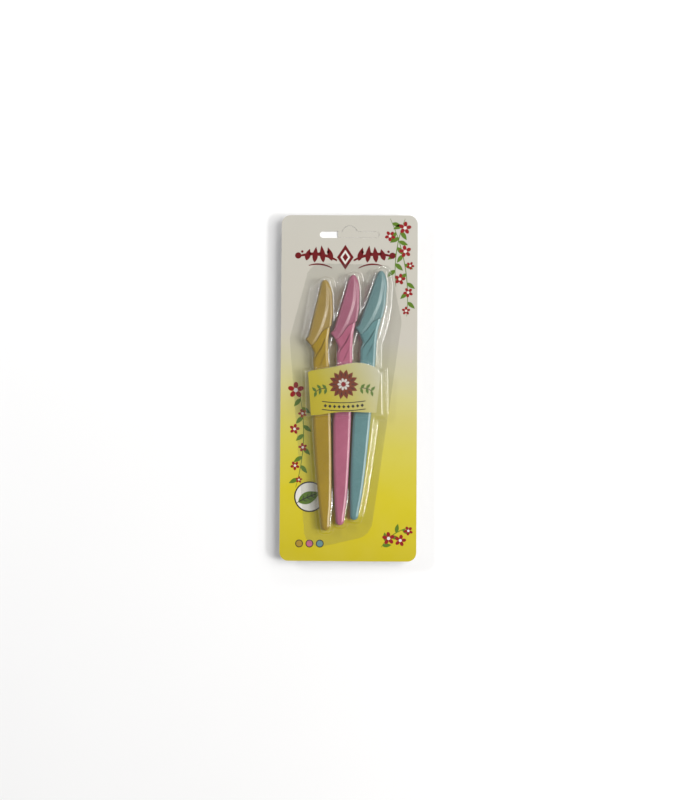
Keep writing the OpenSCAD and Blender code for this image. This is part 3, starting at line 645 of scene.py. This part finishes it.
def cap_mesh():
    """The hollow cap in its place on the handle."""
    points = 46
    outer = cap_rings(58, points, lips=[(0.0, 0.26), (0.05, 0.12), (0.18, 0.02)], start=0.4)
    inner = cap_rings(30, points, inset=CAP_WALL, tip_back=2.2)
    rows = inner[::-1] + outer
    pts = np.vstack(rows)
    faces = tube_faces(len(rows), 2 * points)
    mesh = bpy.data.meshes.new("cap")
    mesh.from_pydata([tuple(p) for p in moved(pts, AT_CAP) * MM], [], faces)
    mesh.validate()
    bm = bmesh.new()
    bm.from_mesh(mesh)
    bmesh.ops.remove_doubles(bm, verts=bm.verts, dist=0.000004)
    bmesh.ops.recalc_face_normals(bm, faces=bm.faces)
    bm.to_mesh(mesh)
    bm.free()
    return mesh


def place(name, mesh, i, mat, body, replaced):
    """A copy of a shape at one of the three razors' places, dressed and on its body."""
    m = at_razor(i) @ Matrix.Translation((0, 0, RAZOR_Z))
    m.translation *= MM
    copy = mesh.copy()
    copy.transform(m)
    ob = linked(name, copy)
    soft_edges(copy, 32.0)
    dress(ob, mat)
    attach(ob, body)
    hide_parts(replaced)


handle_shape = handle_mesh()
cap_shape = cap_mesh()
for i, (tint, mat, cap_mat) in enumerate(TINTS):
    place(tint + "_handle_moulding", handle_shape, i, mat, tint + "_razor", tint + "_handle")
    place(tint + "_cap_moulding", cap_shape, i, cap_mat, tint + "_cap_body", tint + "_cap")
    angle = -(BLADE_ANGLE + FAN_TILT + (i - 1) * TILT_STEP)
    for part, base in (("blade", (0.72, 0.73, 0.75, 1)), ("safety_cover", (0.6, 0.61, 0.63, 1))):
        node = tint + "_" + part
        dress(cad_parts[node], steel(node + "_steel", base, -angle))


# ---------------------------------------------------------------- blister
# Spacing of the film's grid, and height of the welded rim over its flange
FILM_CELL, FILM_RIM = 0.36, 0.10


def smooth_min(a, b, k):
    """The lower of two heights, with the crease between them rounded over k."""
    h = np.clip(0.5 + 0.5 * (b - a) / k, 0, 1)
    return b + (a - b) * h - k * h * (1 - h)


def loft_height(x, y, rows, soft):
    """Height over the card's face of a drafted pocket through rows of along, left, right, roof
    and how far the left wall leans out; soft is how round the right wall's upper bend is."""
    r = np.array(rows, float)
    left, right, roof, lean = (np.interp(y, r[:, 0], r[:, k]) for k in (1, 2, 3, 4))
    top = roof + FILM_T
    bend = np.minimum(POCKET_SHOULDER, top / 3)
    low = POCKET_DRAFT * (top - bend)
    rise = (top - bend) / (low + lean)
    h = smooth_min((x - left + FILM_T + low + lean) * rise, top, 0.9 * rise)
    h = np.minimum(h, smooth_min((right + FILM_T + low - x) / POCKET_DRAFT, top, soft))
    inside = (y >= r[0, 0]) & (y <= r[-1, 0])
    return np.where(inside, h, 0.0)


def blurred(z, sigma):
    """The grid with its creases rounded, as thermoformed film has them."""
    n = int(3 * sigma) + 1
    k = np.exp(-0.5 * (np.arange(-n, n + 1) / sigma) ** 2)
    k /= k.sum()
    p = np.pad(z, n, mode="edge")
    p = sum(w * p[:, j:j + z.shape[1]] for j, w in enumerate(k))
    return sum(w * p[j:j + z.shape[0]] for j, w in enumerate(k))


def to_local(x, y, matrix):
    m = np.array(matrix.inverted())
    return m[0, 0] * x + m[0, 1] * y + m[0, 3], m[1, 0] * x + m[1, 1] * y + m[1, 3]


def crown_y(x):
    return INSERT_H * curve(INSERT_TOP, np.clip(x / INSERT_W, INSERT_TOP[0][0], INSERT_TOP[-1][0]))


def film_height(x, y):
    """Height of the film over the card's face: pockets of handles and caps, and the bridge."""
    roof = CAP_TOP_Z + POCKET_HEAD - FACE_Z
    slope = POCKET_DRAFT * roof
    z = np.full(x.shape, FILM_T)
    for i in range(3):
        lx, ly = to_local(x, y, at_razor(i))
        extra = OUTER_GAP - POCKET_GAP if i == 2 else 0
        rows = [(HANDLE_L * r[0] - (POCKET_GAP + FILM_T) * r[1] - slope * r[2],
                 (HANDLE_W * float(curve(HANDLE_LEFT, r[0])) - POCKET_GAP) * r[3],
                 (HANDLE_W * float(curve(HANDLE_RIGHT, r[0])) + POCKET_GAP) * r[3]
                 + extra * float(curve(OUTER_WALL, r[0])), roof * r[4], 0) for r in HANDLE_POCKET]
        z = np.maximum(z, loft_height(lx, ly, rows, 1.2))
        cx, cy = to_local(lx, ly, AT_CAP)
        hook = CAP_W * CAP_LEFT[5][1] - POCKET_GAP
        wider = TIP_SIDE_GAP - POCKET_GAP
        rows = []
        for r in CAP_POCKET:
            lean = max(TIP_SIDE_GAP * float(curve(CAP_LEAN, r[0])) - 0.35, 0)
            edge = CAP_W * float(curve(CAP_RIGHT, min(r[0], 0.955)))
            rows.append((CAP_L * r[0] + (TIP_GAP + FILM_T) * r[1] + slope * r[2],
                         hook - wider * max(r[0], 0) + TIP_SIDE_GAP * r[3] + lean,
                         edge + CAP_SIDE_GAP - CAP_W * r[4], roof * r[5], lean))
        soft = 1.3 + 2.9 * np.exp(-((cy / CAP_L - 0.21) / 0.14) ** 2)
        z = np.maximum(z, loft_height(cx, cy, rows, soft))
    bx, by = to_local(x, y, AT_INSERT)
    roof = INSERT_TOP_Z + POCKET_HEAD - FACE_Z + FILM_T
    low = POCKET_DRAFT * (roof - POCKET_SHOULDER)
    left = -INSERT_W / 2 - INSERT_GAP - FILM_T - low
    right = INSERT_W / 2 + INSERT_GAP + INSERT_PLAY + FILM_T + low
    back = crown_y(bx) + INSERT_END_GAP + FILM_T + low - by
    front = by + INSERT_END_GAP + FILM_T + low
    wall = np.minimum(np.minimum(bx - left, right - bx), np.minimum(front, back)) / POCKET_DRAFT
    ends = roof - 0.62 * np.clip(np.maximum(bx - right + low + 1.3, left + low + 0.5 - bx), 0, None)
    return np.maximum(z, smooth_min(wall, smooth_min(roof, ends, 0.5), 2.6))


def flange_outline():
    """Outline of the sealed flange: the hull of the circles that part.scad draws."""
    circles = []
    hook = Vector((CAP_W * CAP_LEFT[5][1], CAP_L * CAP_LEFT[5][0], 0))
    shoulder = Vector((CAP_W * CAP_RIGHT[1][1], CAP_L * CAP_RIGHT[1][0], 0))
    highest = Vector((CAP_W * CAP_RIGHT[8][1], CAP_L, 0))
    m0, m2 = at_razor(0), at_razor(2)
    circles.append((m0 @ Vector((HANDLE_W * HANDLE_LEFT[2][1], 0, 0)), FLANGE_W))
    circles.append((m0 @ AT_CAP @ hook, FLANGE_W))
    circles.append((m0 @ AT_CAP @ Vector((0, CAP_L, 0)), FLANGE_W))
    circles.append((m2 @ Vector((0, 0, 0)), FLANGE_SPINE_W))
    circles.append((m2 @ AT_CAP @ shoulder, FLANGE_SPINE_W))
    circles.append((m2 @ AT_CAP @ highest, FLANGE_TIP_W))
    pts = []
    for c, r in circles:
        for a in np.linspace(0, 2 * math.pi, 180, endpoint=False):
            pts.append((c.x + r * math.cos(a), c.y + r * math.sin(a)))
    pts = sorted(set(pts))

    def half(points):
        out = []
        for p in points:
            while len(out) > 1 and ((out[-1][0] - out[-2][0]) * (p[1] - out[-2][1])
                                    - (out[-1][1] - out[-2][1]) * (p[0] - out[-2][0])) <= 0:
                out.pop()
            out.append(p)
        return out[:-1]
    hull = np.array(half(pts) + half(pts[::-1]))
    out = []
    for k in range(len(hull)):
        a, b = hull[k], hull[(k + 1) % len(hull)]
        steps = max(1, int(np.linalg.norm(b - a) / 1.5))
        out += [a + (b - a) * s / steps for s in range(steps)]
    return np.array(out)


def blister():
    """The film as a grid of heights inside its flange, closed down to the card at its rim."""
    outline = flange_outline()
    a, b = outline, np.roll(outline, -1, axis=0)
    cell = FILM_CELL
    lo, hi = outline.min(0) - cell, outline.max(0) + cell
    xs = np.arange(lo[0], hi[0] + cell, cell)
    ys = np.arange(lo[1], hi[1] + cell, cell)
    gx, gy = np.meshgrid(xs, ys)
    side = np.full(gx.shape, 1e9)
    for p, q in zip(a, b):
        d = (q - p) / np.linalg.norm(q - p)
        side = np.minimum(side, d[0] * (gy - p[1]) - d[1] * (gx - p[0]))
    inside = side >= 0
    ny, nx = gx.shape
    keep = inside[:-1, :-1] | inside[1:, :-1] | inside[:-1, 1:] | inside[1:, 1:]
    used = np.zeros(gx.shape, bool)
    for dy in (0, 1):
        for dx in (0, 1):
            used[dy:ny - 1 + dy, dx:nx - 1 + dx] |= keep
    px, py = gx.copy(), gy.copy()
    out_y, out_x = np.nonzero(used & ~inside)
    p = np.c_[px[out_y, out_x], py[out_y, out_x]]
    best = np.full(len(p), 1e9)
    near = p.copy()
    for s, e in zip(a, b):
        d = e - s
        t = np.clip(((p - s) @ d) / (d @ d), 0, 1)
        c = s + t[:, None] * d
        dist = np.linalg.norm(p - c, axis=1)
        closer = dist < best
        near[closer], best[closer] = c[closer], dist[closer]
    px[out_y, out_x], py[out_y, out_x] = near[:, 0], near[:, 1]
    h = np.maximum(blurred(film_height(gx, gy), 1.0), FILM_T)
    rim = FILM_RIM * np.exp(-(np.clip(side, 0, None) / 0.35) ** 2)
    z = FACE_Z + h + rim * (h < FILM_T + 0.2)
    index = -np.ones(gx.shape, int)
    index[used] = np.arange(used.sum())
    pts = np.c_[px[used], py[used], z[used]]
    ky, kx = np.nonzero(keep)
    faces = np.c_[index[ky, kx], index[ky, kx + 1], index[ky + 1, kx + 1], index[ky + 1, kx]]
    mesh = bpy.data.meshes.new("blister_film")
    mesh.from_pydata((pts * MM).tolist(), [], faces.tolist())
    mesh.validate()
    bm = bmesh.new()
    bm.from_mesh(mesh)
    bmesh.ops.remove_doubles(bm, verts=bm.verts, dist=0.00002)
    rim_edges = [e for e in bm.edges if e.is_boundary]
    made = bmesh.ops.extrude_edge_only(bm, edges=rim_edges)
    for v in made["geom"]:
        if isinstance(v, bmesh.types.BMVert):
            v.co.z = (FACE_Z + 0.02) * MM
    bmesh.ops.recalc_face_normals(bm, faces=bm.faces)
    bm.to_mesh(mesh)
    bm.free()
    ob = linked("blister_film", mesh)
    soft_edges(mesh, 60.0)
    dress(ob, FILM)
    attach(ob, "blister")
    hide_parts("blister_shell")


blister()


# ---------------------------------------------------------------- card and insert boards
def card_print(nt, co):
    """Warm grey at the top, running to yellow at the foot, a little sooner at the left."""
    xyz = nt.nodes.new("ShaderNodeSeparateXYZ")
    nt.links.new(co, xyz.inputs[0])
    up = maths(nt, "MULTIPLY_ADD", xyz.outputs[0], 0.13, xyz.outputs[1])
    t = map_range(nt, up, 0.104, -0.104, 0.0, 1.0).outputs[0]
    r = ramp(nt, [(0.0, srgb(188, 185, 175)), (0.35, srgb(189, 184, 172)),
                  (0.44, srgb(192, 187, 154)), (0.51, srgb(196, 189, 127)),
                  (0.57, srgb(196, 186, 103)), (0.665, srgb(198, 187, 68)),
                  (0.81, srgb(199, 184, 24)), (0.92, srgb(194, 178, 18)),
                  (1.0, srgb(187, 171, 16))])
    nt.links.new(t, r.inputs[0])
    return r.outputs[0]


def insert_print(nt, co):
    """Yellow at the left and foot, pale beige towards the top right."""
    xyz = nt.nodes.new("ShaderNodeSeparateXYZ")
    nt.links.new(co, xyz.inputs[0])
    across = maths(nt, "MULTIPLY_ADD", xyz.outputs[0], 1.6, xyz.outputs[1])
    t = map_range(nt, across, -0.052, 0.038, 0.0, 1.0).outputs[0]
    r = ramp(nt, [(0.0, srgb(194, 175, 4)), (0.3, srgb(195, 179, 34)),
                  (0.55, srgb(191, 181, 92)), (1.0, srgb(187, 184, 156))])
    nt.links.new(t, r.inputs[0])
    return r.outputs[0]


dress(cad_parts["backing_card"],
      coated_board("card_board", card_print, srgb(226, 222, 212), srgb(205, 202, 196)))
dress(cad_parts["insert_band"],
      coated_board("insert_board", insert_print, srgb(224, 220, 208), srgb(208, 205, 198)))

# ---------------------------------------------------------------- printed motifs
INKS = {
    "red": ink("ink_red", srgb(104, 2, 10), srgb(80, 1, 6)),
    "rose": ink("ink_rose", srgb(142, 14, 20), srgb(112, 6, 12)),
    "green": ink("ink_green", srgb(88, 118, 26), srgb(66, 96, 18)),
    "dark": ink("ink_dark", srgb(40, 34, 30), srgb(26, 22, 22)),
    "white": ink("ink_white", srgb(214, 212, 204), srgb(200, 196, 188)),
    "brown": ink("ink_brown", srgb(122, 48, 6), srgb(98, 34, 4)),
    "yellow": ink("ink_yellow", srgb(160, 130, 46), srgb(150, 120, 40)),
    "pink": ink("ink_pink", srgb(176, 98, 124), srgb(166, 90, 114)),
    "teal": ink("ink_teal", srgb(102, 142, 144), srgb(94, 134, 136)),
}
prints = {}


def add_shape(group, colour, points, faces):
    prints.setdefault((group, colour), []).append((np.asarray(points, float), faces))


def disc(cx, cy, radius, angle=0.0, stretch=1.0, lift=0.0, count=26, rings=3):
    """A round or oval patch as rings of points, so that it can follow a bent board."""
    a = np.linspace(0, 2 * math.pi, count, endpoint=False)
    base = np.c_[radius * np.cos(a), radius * stretch * np.sin(a)]
    return patch(cx, cy, base, angle, lift, rings)


def patch(cx, cy, outline, angle, lift, rings):
    """An outline filled with rings of faces round its middle."""
    c, s = math.cos(angle), math.sin(angle)
    n = len(outline)
    pts = [(cx, cy, lift)]
    for k in range(1, rings + 1):
        for p in outline * (k / rings):
            pts.append((cx + c * p[0] - s * p[1], cy + s * p[0] + c * p[1], lift))
    faces = [(0, 1 + j, 1 + (j + 1) % n) for j in range(n)]
    for k in range(rings - 1):
        o = 1 + k * n
        faces += [(o + j, o + n + j, o + n + (j + 1) % n, o + (j + 1) % n) for j in range(n)]
    return pts, faces


def leaf(cx, cy, length, width, angle, lift=0.0):
    """A pointed leaf whose foot is at the place given."""
    t = np.linspace(0, 1, 12)
    half = width / 2 * np.sin(np.pi * t ** 0.8)
    up = np.c_[length * (t - 0.5), half]
    down = np.c_[length * (t - 0.5), -half][::-1][1:-1]
    mx, my = cx + length / 2 * math.cos(angle), cy + length / 2 * math.sin(angle)
    return patch(mx, my, np.vstack([up, down]), angle, lift, 3)


def stroke(points, width, lift=0.0, taper=True):
    """A line of even width, or one that narrows towards its ends."""
    p = np.asarray(points, float)
    d = np.gradient(p, axis=0)
    d /= np.linalg.norm(d, axis=1)[:, None]
    n = np.c_[-d[:, 1], d[:, 0]]
    t = np.linspace(0, 1, len(p))
    w = width / 2 * (0.35 + 0.65 * np.sin(np.pi * (0.08 + 0.84 * t)) if taper else 1 + 0 * t)
    a, b = p + n * w[:, None], p - n * w[:, None]
    pts = [(x, y, lift) for x, y in np.vstack([a, b])]
    k = len(p)
    return pts, [(j, j + k, j + k + 1, j + 1) for j in range(k - 1)]


def arc(x0, y0, x1, y1, sag, count=22):
    """Points on a soft bow from one place to another."""
    t = np.linspace(0, 1, count)
    dx, dy = x1 - x0, y1 - y0
    bow = 4 * sag * t * (1 - t)
    ln = math.hypot(dx, dy)
    return np.c_[x0 + dx * t - dy / ln * bow, y0 + dy * t + dx / ln * bow]


def blossom(group, x, y, r, turn):
    """A round blossom with five petals and a white heart."""
    for k in range(5):
        a = turn + 2 * math.pi * k / 5
        add_shape(group, "rose", *disc(x + 0.62 * r * math.cos(a), y + 0.62 * r * math.sin(a),
                                       0.42 * r, a, 0.72, 0.02))
    add_shape(group, "white", *disc(x, y, 0.27 * r, 0, 1, 0.04))


def sprig(group, points, leaves, size, flip=1):
    """A thin stem with leaves at shares of its length, turn about on either side."""
    add_shape(group, "green", *stroke(points, 0.5, 0.0))
    for k, t in enumerate(leaves):
        i = int(t * (len(points) - 2))
        d = points[i + 1] - points[i]
        a = math.atan2(d[1], d[0]) + flip * (1 if k % 2 else -1) * 0.85
        add_shape(group, "green", *leaf(points[i][0], points[i][1], size, size * 0.42, a, 0.01))


# Garland across the upper card
MID = -2.5
for sign in (-1, 1):
    add_shape("card", "red", *stroke(arc(MID + sign * 5, 76.6, MID + sign * 28.6, 79.0, sign * 2.6),
                                     1.9, 0.02))
    add_shape("card", "red", *stroke(arc(MID + sign * 8, 72.0, MID + sign * 22, 73.6, sign * 1.5),
                                     1.0, 0.02))
    for x, y, length, lean in ((8.0, 76.4, 8.6, 0.3), (13.2, 75.4, 10.4, 0.12),
                               (18.6, 75.4, 9.6, -0.1), (23.6, 76.6, 7.4, -0.3)):
        add_shape("card", "red", *leaf(MID + sign * x, y, length, 3.3, math.pi / 2 - sign * lean,
                                       0.03))
        add_shape("card", "red", *disc(MID + sign * (x + 2.4), y + 5.4, 0.75, 0, 1, 0.03, 16, 2))
    add_shape("card", "red", *disc(MID + sign * 28.4, 79.6, 1.9, 0, 1, 0.03, 24, 2))
add_shape("card", "red", *disc(MID, 78.6, 5.0, 0, 1.5, 0.02, 4, 3))
add_shape("card", "white", *disc(MID, 78.6, 3.0, 0, 1.5, 0.04, 4, 3))
add_shape("card", "red", *disc(MID, 78.6, 1.7, 0, 1.5, 0.06, 4, 2))

# Sprigs of round-petalled blossoms at the upper right, the left and the lower right
up = arc(33.5, 102, 28, 61, -2.5)
sprig("card", up, [0.1, 0.22, 0.34, 0.46, 0.58, 0.7, 0.82, 0.94], 6.4)
down = arc(24.5, 102, 34.6, 43, 4)
sprig("card", down, [0.08, 0.18, 0.28, 0.4, 0.5, 0.6, 0.7, 0.8, 0.92], 6.0, -1)
for x, y, r, turn in ((33.4, 96.4, 3.7, 0.2), (24.4, 91.5, 3.1, 0.9), (33.6, 82.2, 3.6, 0.5),
                      (36.6, 73.6, 2.4, 1.1), (30.4, 65.5, 3.3, 0.1), (35.4, 57.4, 2.9, 0.8),
                      (34.2, 46.4, 2.5, 0.3)):
    blossom("card", x, y, r, turn)
left = arc(-29.5, -4, -31.5, -60, 3.5)
sprig("card", left, [0.06, 0.16, 0.26, 0.36, 0.48, 0.6, 0.72, 0.84, 0.95], 6.2)
for x, y, r, turn in ((-31.8, -1.6, 4.7, 0.3), (-27.6, -15.6, 2.6, 0.7), (-32.4, -25, 3.0, 0.1),
                      (-27.4, -36, 2.6, 0.5), (-32.0, -47, 2.7, 0.9), (-29.6, -55.4, 2.0, 0.2)):
    blossom("card", x, y, r, turn)
low = arc(20, -95.5, 37.6, -83.5, 2.2)
sprig("card", low, [0.05, 0.24, 0.44, 0.64, 0.84], 5.6)
for x, y, r, turn in ((24.4, -90.2, 3.7, 0.4), (31.4, -91.4, 3.4, 0.1), (36.2, -85.6, 2.7, 0.8)):
    blossom("card", x, y, r, turn)

# Round badge with a leaf, and three dots in the razors' colours
add_shape("card", "dark", *disc(-23.2, -65.6, 9.2, 0, 1, 0.0, 64, 3))
add_shape("card", "white", *disc(-23.2, -65.6, 8.4, 0, 1, 0.02, 64, 3))
add_shape("card", "green", *leaf(-30.0, -68.8, 14.5, 7.2, 0.42, 0.04))
add_shape("card", "dark", *stroke(arc(-30.6, -69.2, -18.6, -63.6, 0.3), 0.7, 0.06))
for t in (0.3, 0.5, 0.7):
    x, y = -30.6 + 12.0 * t, -69.2 + 5.6 * t
    add_shape("card", "dark", *stroke(arc(x, y, x + 2.6, y - 0.6, -0.2, 8), 0.4, 0.06))
    add_shape("card", "dark", *stroke(arc(x, y, x + 0.6, y + 2.4, 0.2, 8), 0.4, 0.06))
for k, colour in enumerate(("yellow", "pink", "teal")):
    add_shape("card", "dark", *disc(-29.2 + 6.2 * k, -93.6, 2.35, 0, 1, 0.0, 32, 2))
    add_shape("card", colour, *disc(-29.2 + 6.2 * k, -93.6, 1.85, 0, 1, 0.02, 32, 2))

# Rosette with leaves on the insert, over a band of diamonds, in the insert's own place
for k in range(14):
    a = 2 * math.pi * k / 14
    add_shape("insert", "brown", *leaf(3.4 * math.cos(a), 18.2 + 3.4 * math.sin(a), 5.6, 2.9, a,
                                       0.02))
    add_shape("insert", "dark", *leaf(4.6 * math.cos(a), 18.2 + 4.6 * math.sin(a), 2.8, 0.5, a,
                                      0.04))
add_shape("insert", "brown", *disc(0, 18.2, 4.3, 0, 1, 0.03, 32, 2))
for k in range(9):
    a = 2 * math.pi * (k + 0.5) / 9
    add_shape("insert", "white", *disc(2.5 * math.cos(a), 18.2 + 2.5 * math.sin(a), 1.15, a, 0.62,
                                       0.05, 16, 2))
add_shape("insert", "rose", *disc(0, 18.2, 1.3, 0, 1, 0.07, 24, 2))
for sign in (-1, 1):
    stem = arc(sign * 9.6, 15.6, sign * 17.4, 13.2, sign * 1.2, 14)
    add_shape("insert", "dark", *stroke(stem, 0.5, 0.02))
    for t in (0.15, 0.5, 0.85):
        q = stem[int(t * 13)]
        for turn in (math.pi / 2 - sign * 0.75, -math.pi / 2 + sign * 0.3):
            add_shape("insert", "green", *leaf(q[0], q[1], 3.6, 1.7, turn, 0.04))
for y in (3.4, 8.2):
    add_shape("insert", "dark", *stroke(arc(-13, y, 13, y, -1.0), 0.5, 0.02, False))
for x in np.linspace(-11, 11, 9):
    add_shape("insert", "dark", *disc(x, 4.85 + 0.006 * x * x, 1.0, 0, 1.1, 0.02, 4, 2))

BOW_R = ((INSERT_W / 2) ** 2 + INSERT_RISE ** 2) / (2 * INSERT_RISE)
for (group, colour), shapes in prints.items():
    pts, faces = join_shapes(shapes)
    if group == "insert":
        top = INSERT_Z + INSERT_RISE - BOW_R + np.sqrt((BOW_R + INSERT_T) ** 2 - pts[:, 0] ** 2)
        pts = np.c_[pts[:, :2], top + 0.02 + pts[:, 2]]
        pts = moved(pts, AT_INSERT)
    else:
        pts = np.c_[pts[:, :2], FACE_Z + 0.01 + pts[:, 2]]
    mesh = bpy.data.meshes.new(group + "_print_" + colour)
    mesh.from_pydata((pts * MM).tolist(), [], faces)
    ob = linked(mesh.name, mesh)
    dress(ob, INKS[colour])
    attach(ob, group)

# ---------------------------------------------------------------- floor, light and camera
# Height of the stand under the card, in metres
STAND = 0.0058


def flat_box(name, w, l, z0, z1, mat):
    """A stage block, given by its size and heights in millimetres."""
    p, f = prism([[-w / 2, -l / 2], [w / 2, -l / 2], [w / 2, l / 2], [-w / 2, l / 2]], z0, z1)
    ob = new_object(name, p, f, smooth=False)
    dress(ob, mat)


def floor_white():
    mat, nt, out = material("floor_white")
    co = nt.nodes.new("ShaderNodeTexCoord").outputs["Object"]
    n = noise(nt, co, 8.0, 2.0, 0.5)
    b = nt.nodes.new("ShaderNodeBsdfPrincipled")
    nt.links.new(mix_colour(nt, n.outputs[0], (0.84, 0.84, 0.84, 1), (0.86, 0.86, 0.86, 1)),
                 b.inputs["Base Color"])
    b.inputs["Roughness"].default_value = 0.8
    b.inputs["Specular IOR Level"].default_value = 0.1
    b.inputs["Emission Color"].default_value = (1, 1, 1, 1)
    b.inputs["Emission Strength"].default_value = 0.02
    nt.links.new(b.outputs[0], out.inputs[0])
    return mat


def area(name, place_at, width, height, power, colour):
    """A rectangular light that faces the middle of the card."""
    light = bpy.data.lights.new(name, "AREA")
    light.energy = power
    light.color = colour
    light.shape = "RECTANGLE"
    light.size = width
    light.size_y = height
    ob = linked(name, light)
    ob.location = place_at
    ob.rotation_euler = (-Vector(place_at)).to_track_quat("-Z", "Y").to_euler()


def dome():
    """A grey sky, even near the horizon and darker overhead, so that flat film stays clear."""
    world = bpy.data.worlds.new("studio")
    bpy.context.scene.world = world
    world.use_nodes = True
    nt = world.node_tree
    xyz = nt.nodes.new("ShaderNodeSeparateXYZ")
    nt.links.new(nt.nodes.new("ShaderNodeTexCoord").outputs["Generated"], xyz.inputs[0])
    sky = ramp(nt, [(0.0, (0.4, 0.4, 0.4, 1)), (0.35, (0.4, 0.4, 0.4, 1)),
                    (0.7, (0.33, 0.33, 0.335, 1)), (0.9, (0.17, 0.17, 0.175, 1))])
    nt.links.new(xyz.outputs[2], sky.inputs[0])
    nt.links.new(sky.outputs[0], nt.nodes["Background"].inputs[0])
    nt.nodes["Background"].inputs[1].default_value = 1.0


floor_mat = floor_white()
flat_box("floor", 6000, 6000, -STAND / MM - 10, -STAND / MM, floor_mat)
flat_box("floor_stand", 54, 192, -STAND / MM, -0.01, floor_mat)
WARM, COOL, WHITE = (1.0, 0.99, 0.975), (0.97, 0.985, 1.0), (1, 1, 1)
# The key gives the shadows; the small lights give the streaks in the film's bends
for light in (("key_light", (1.65, 0.375, 1.75), 1.75, 2.0, 52.5, WARM),
              ("right_light", (1.6, -0.28, 1.14), 0.52, 0.22, 15.4, WARM),
              ("left_light", (-0.86, 0.40, 0.5), 0.3, 0.05, 2.8, COOL),
              ("far_light", (0.28, 0.96, 0.45), 0.16, 0.05, 0.9, WHITE),
              ("far_spark", (-0.26, 0.97, 0.45), 0.1, 0.05, 0.5, WHITE)):
    area(*light)
dome()

cam = bpy.data.cameras.new("camera")
cam.lens = 68.0
cam.sensor_width = 36.0
cam.clip_end = 50
camera = linked("camera", cam)
camera.location = (0.02059, -0.03625, 0.90749)
camera.rotation_euler = (0.03188, 0.02161, 0.00595)
bpy.context.scene.camera = camera
bpy.context.scene.view_settings.view_transform = "Standard"
bpy.context.scene.view_settings.look = "None"
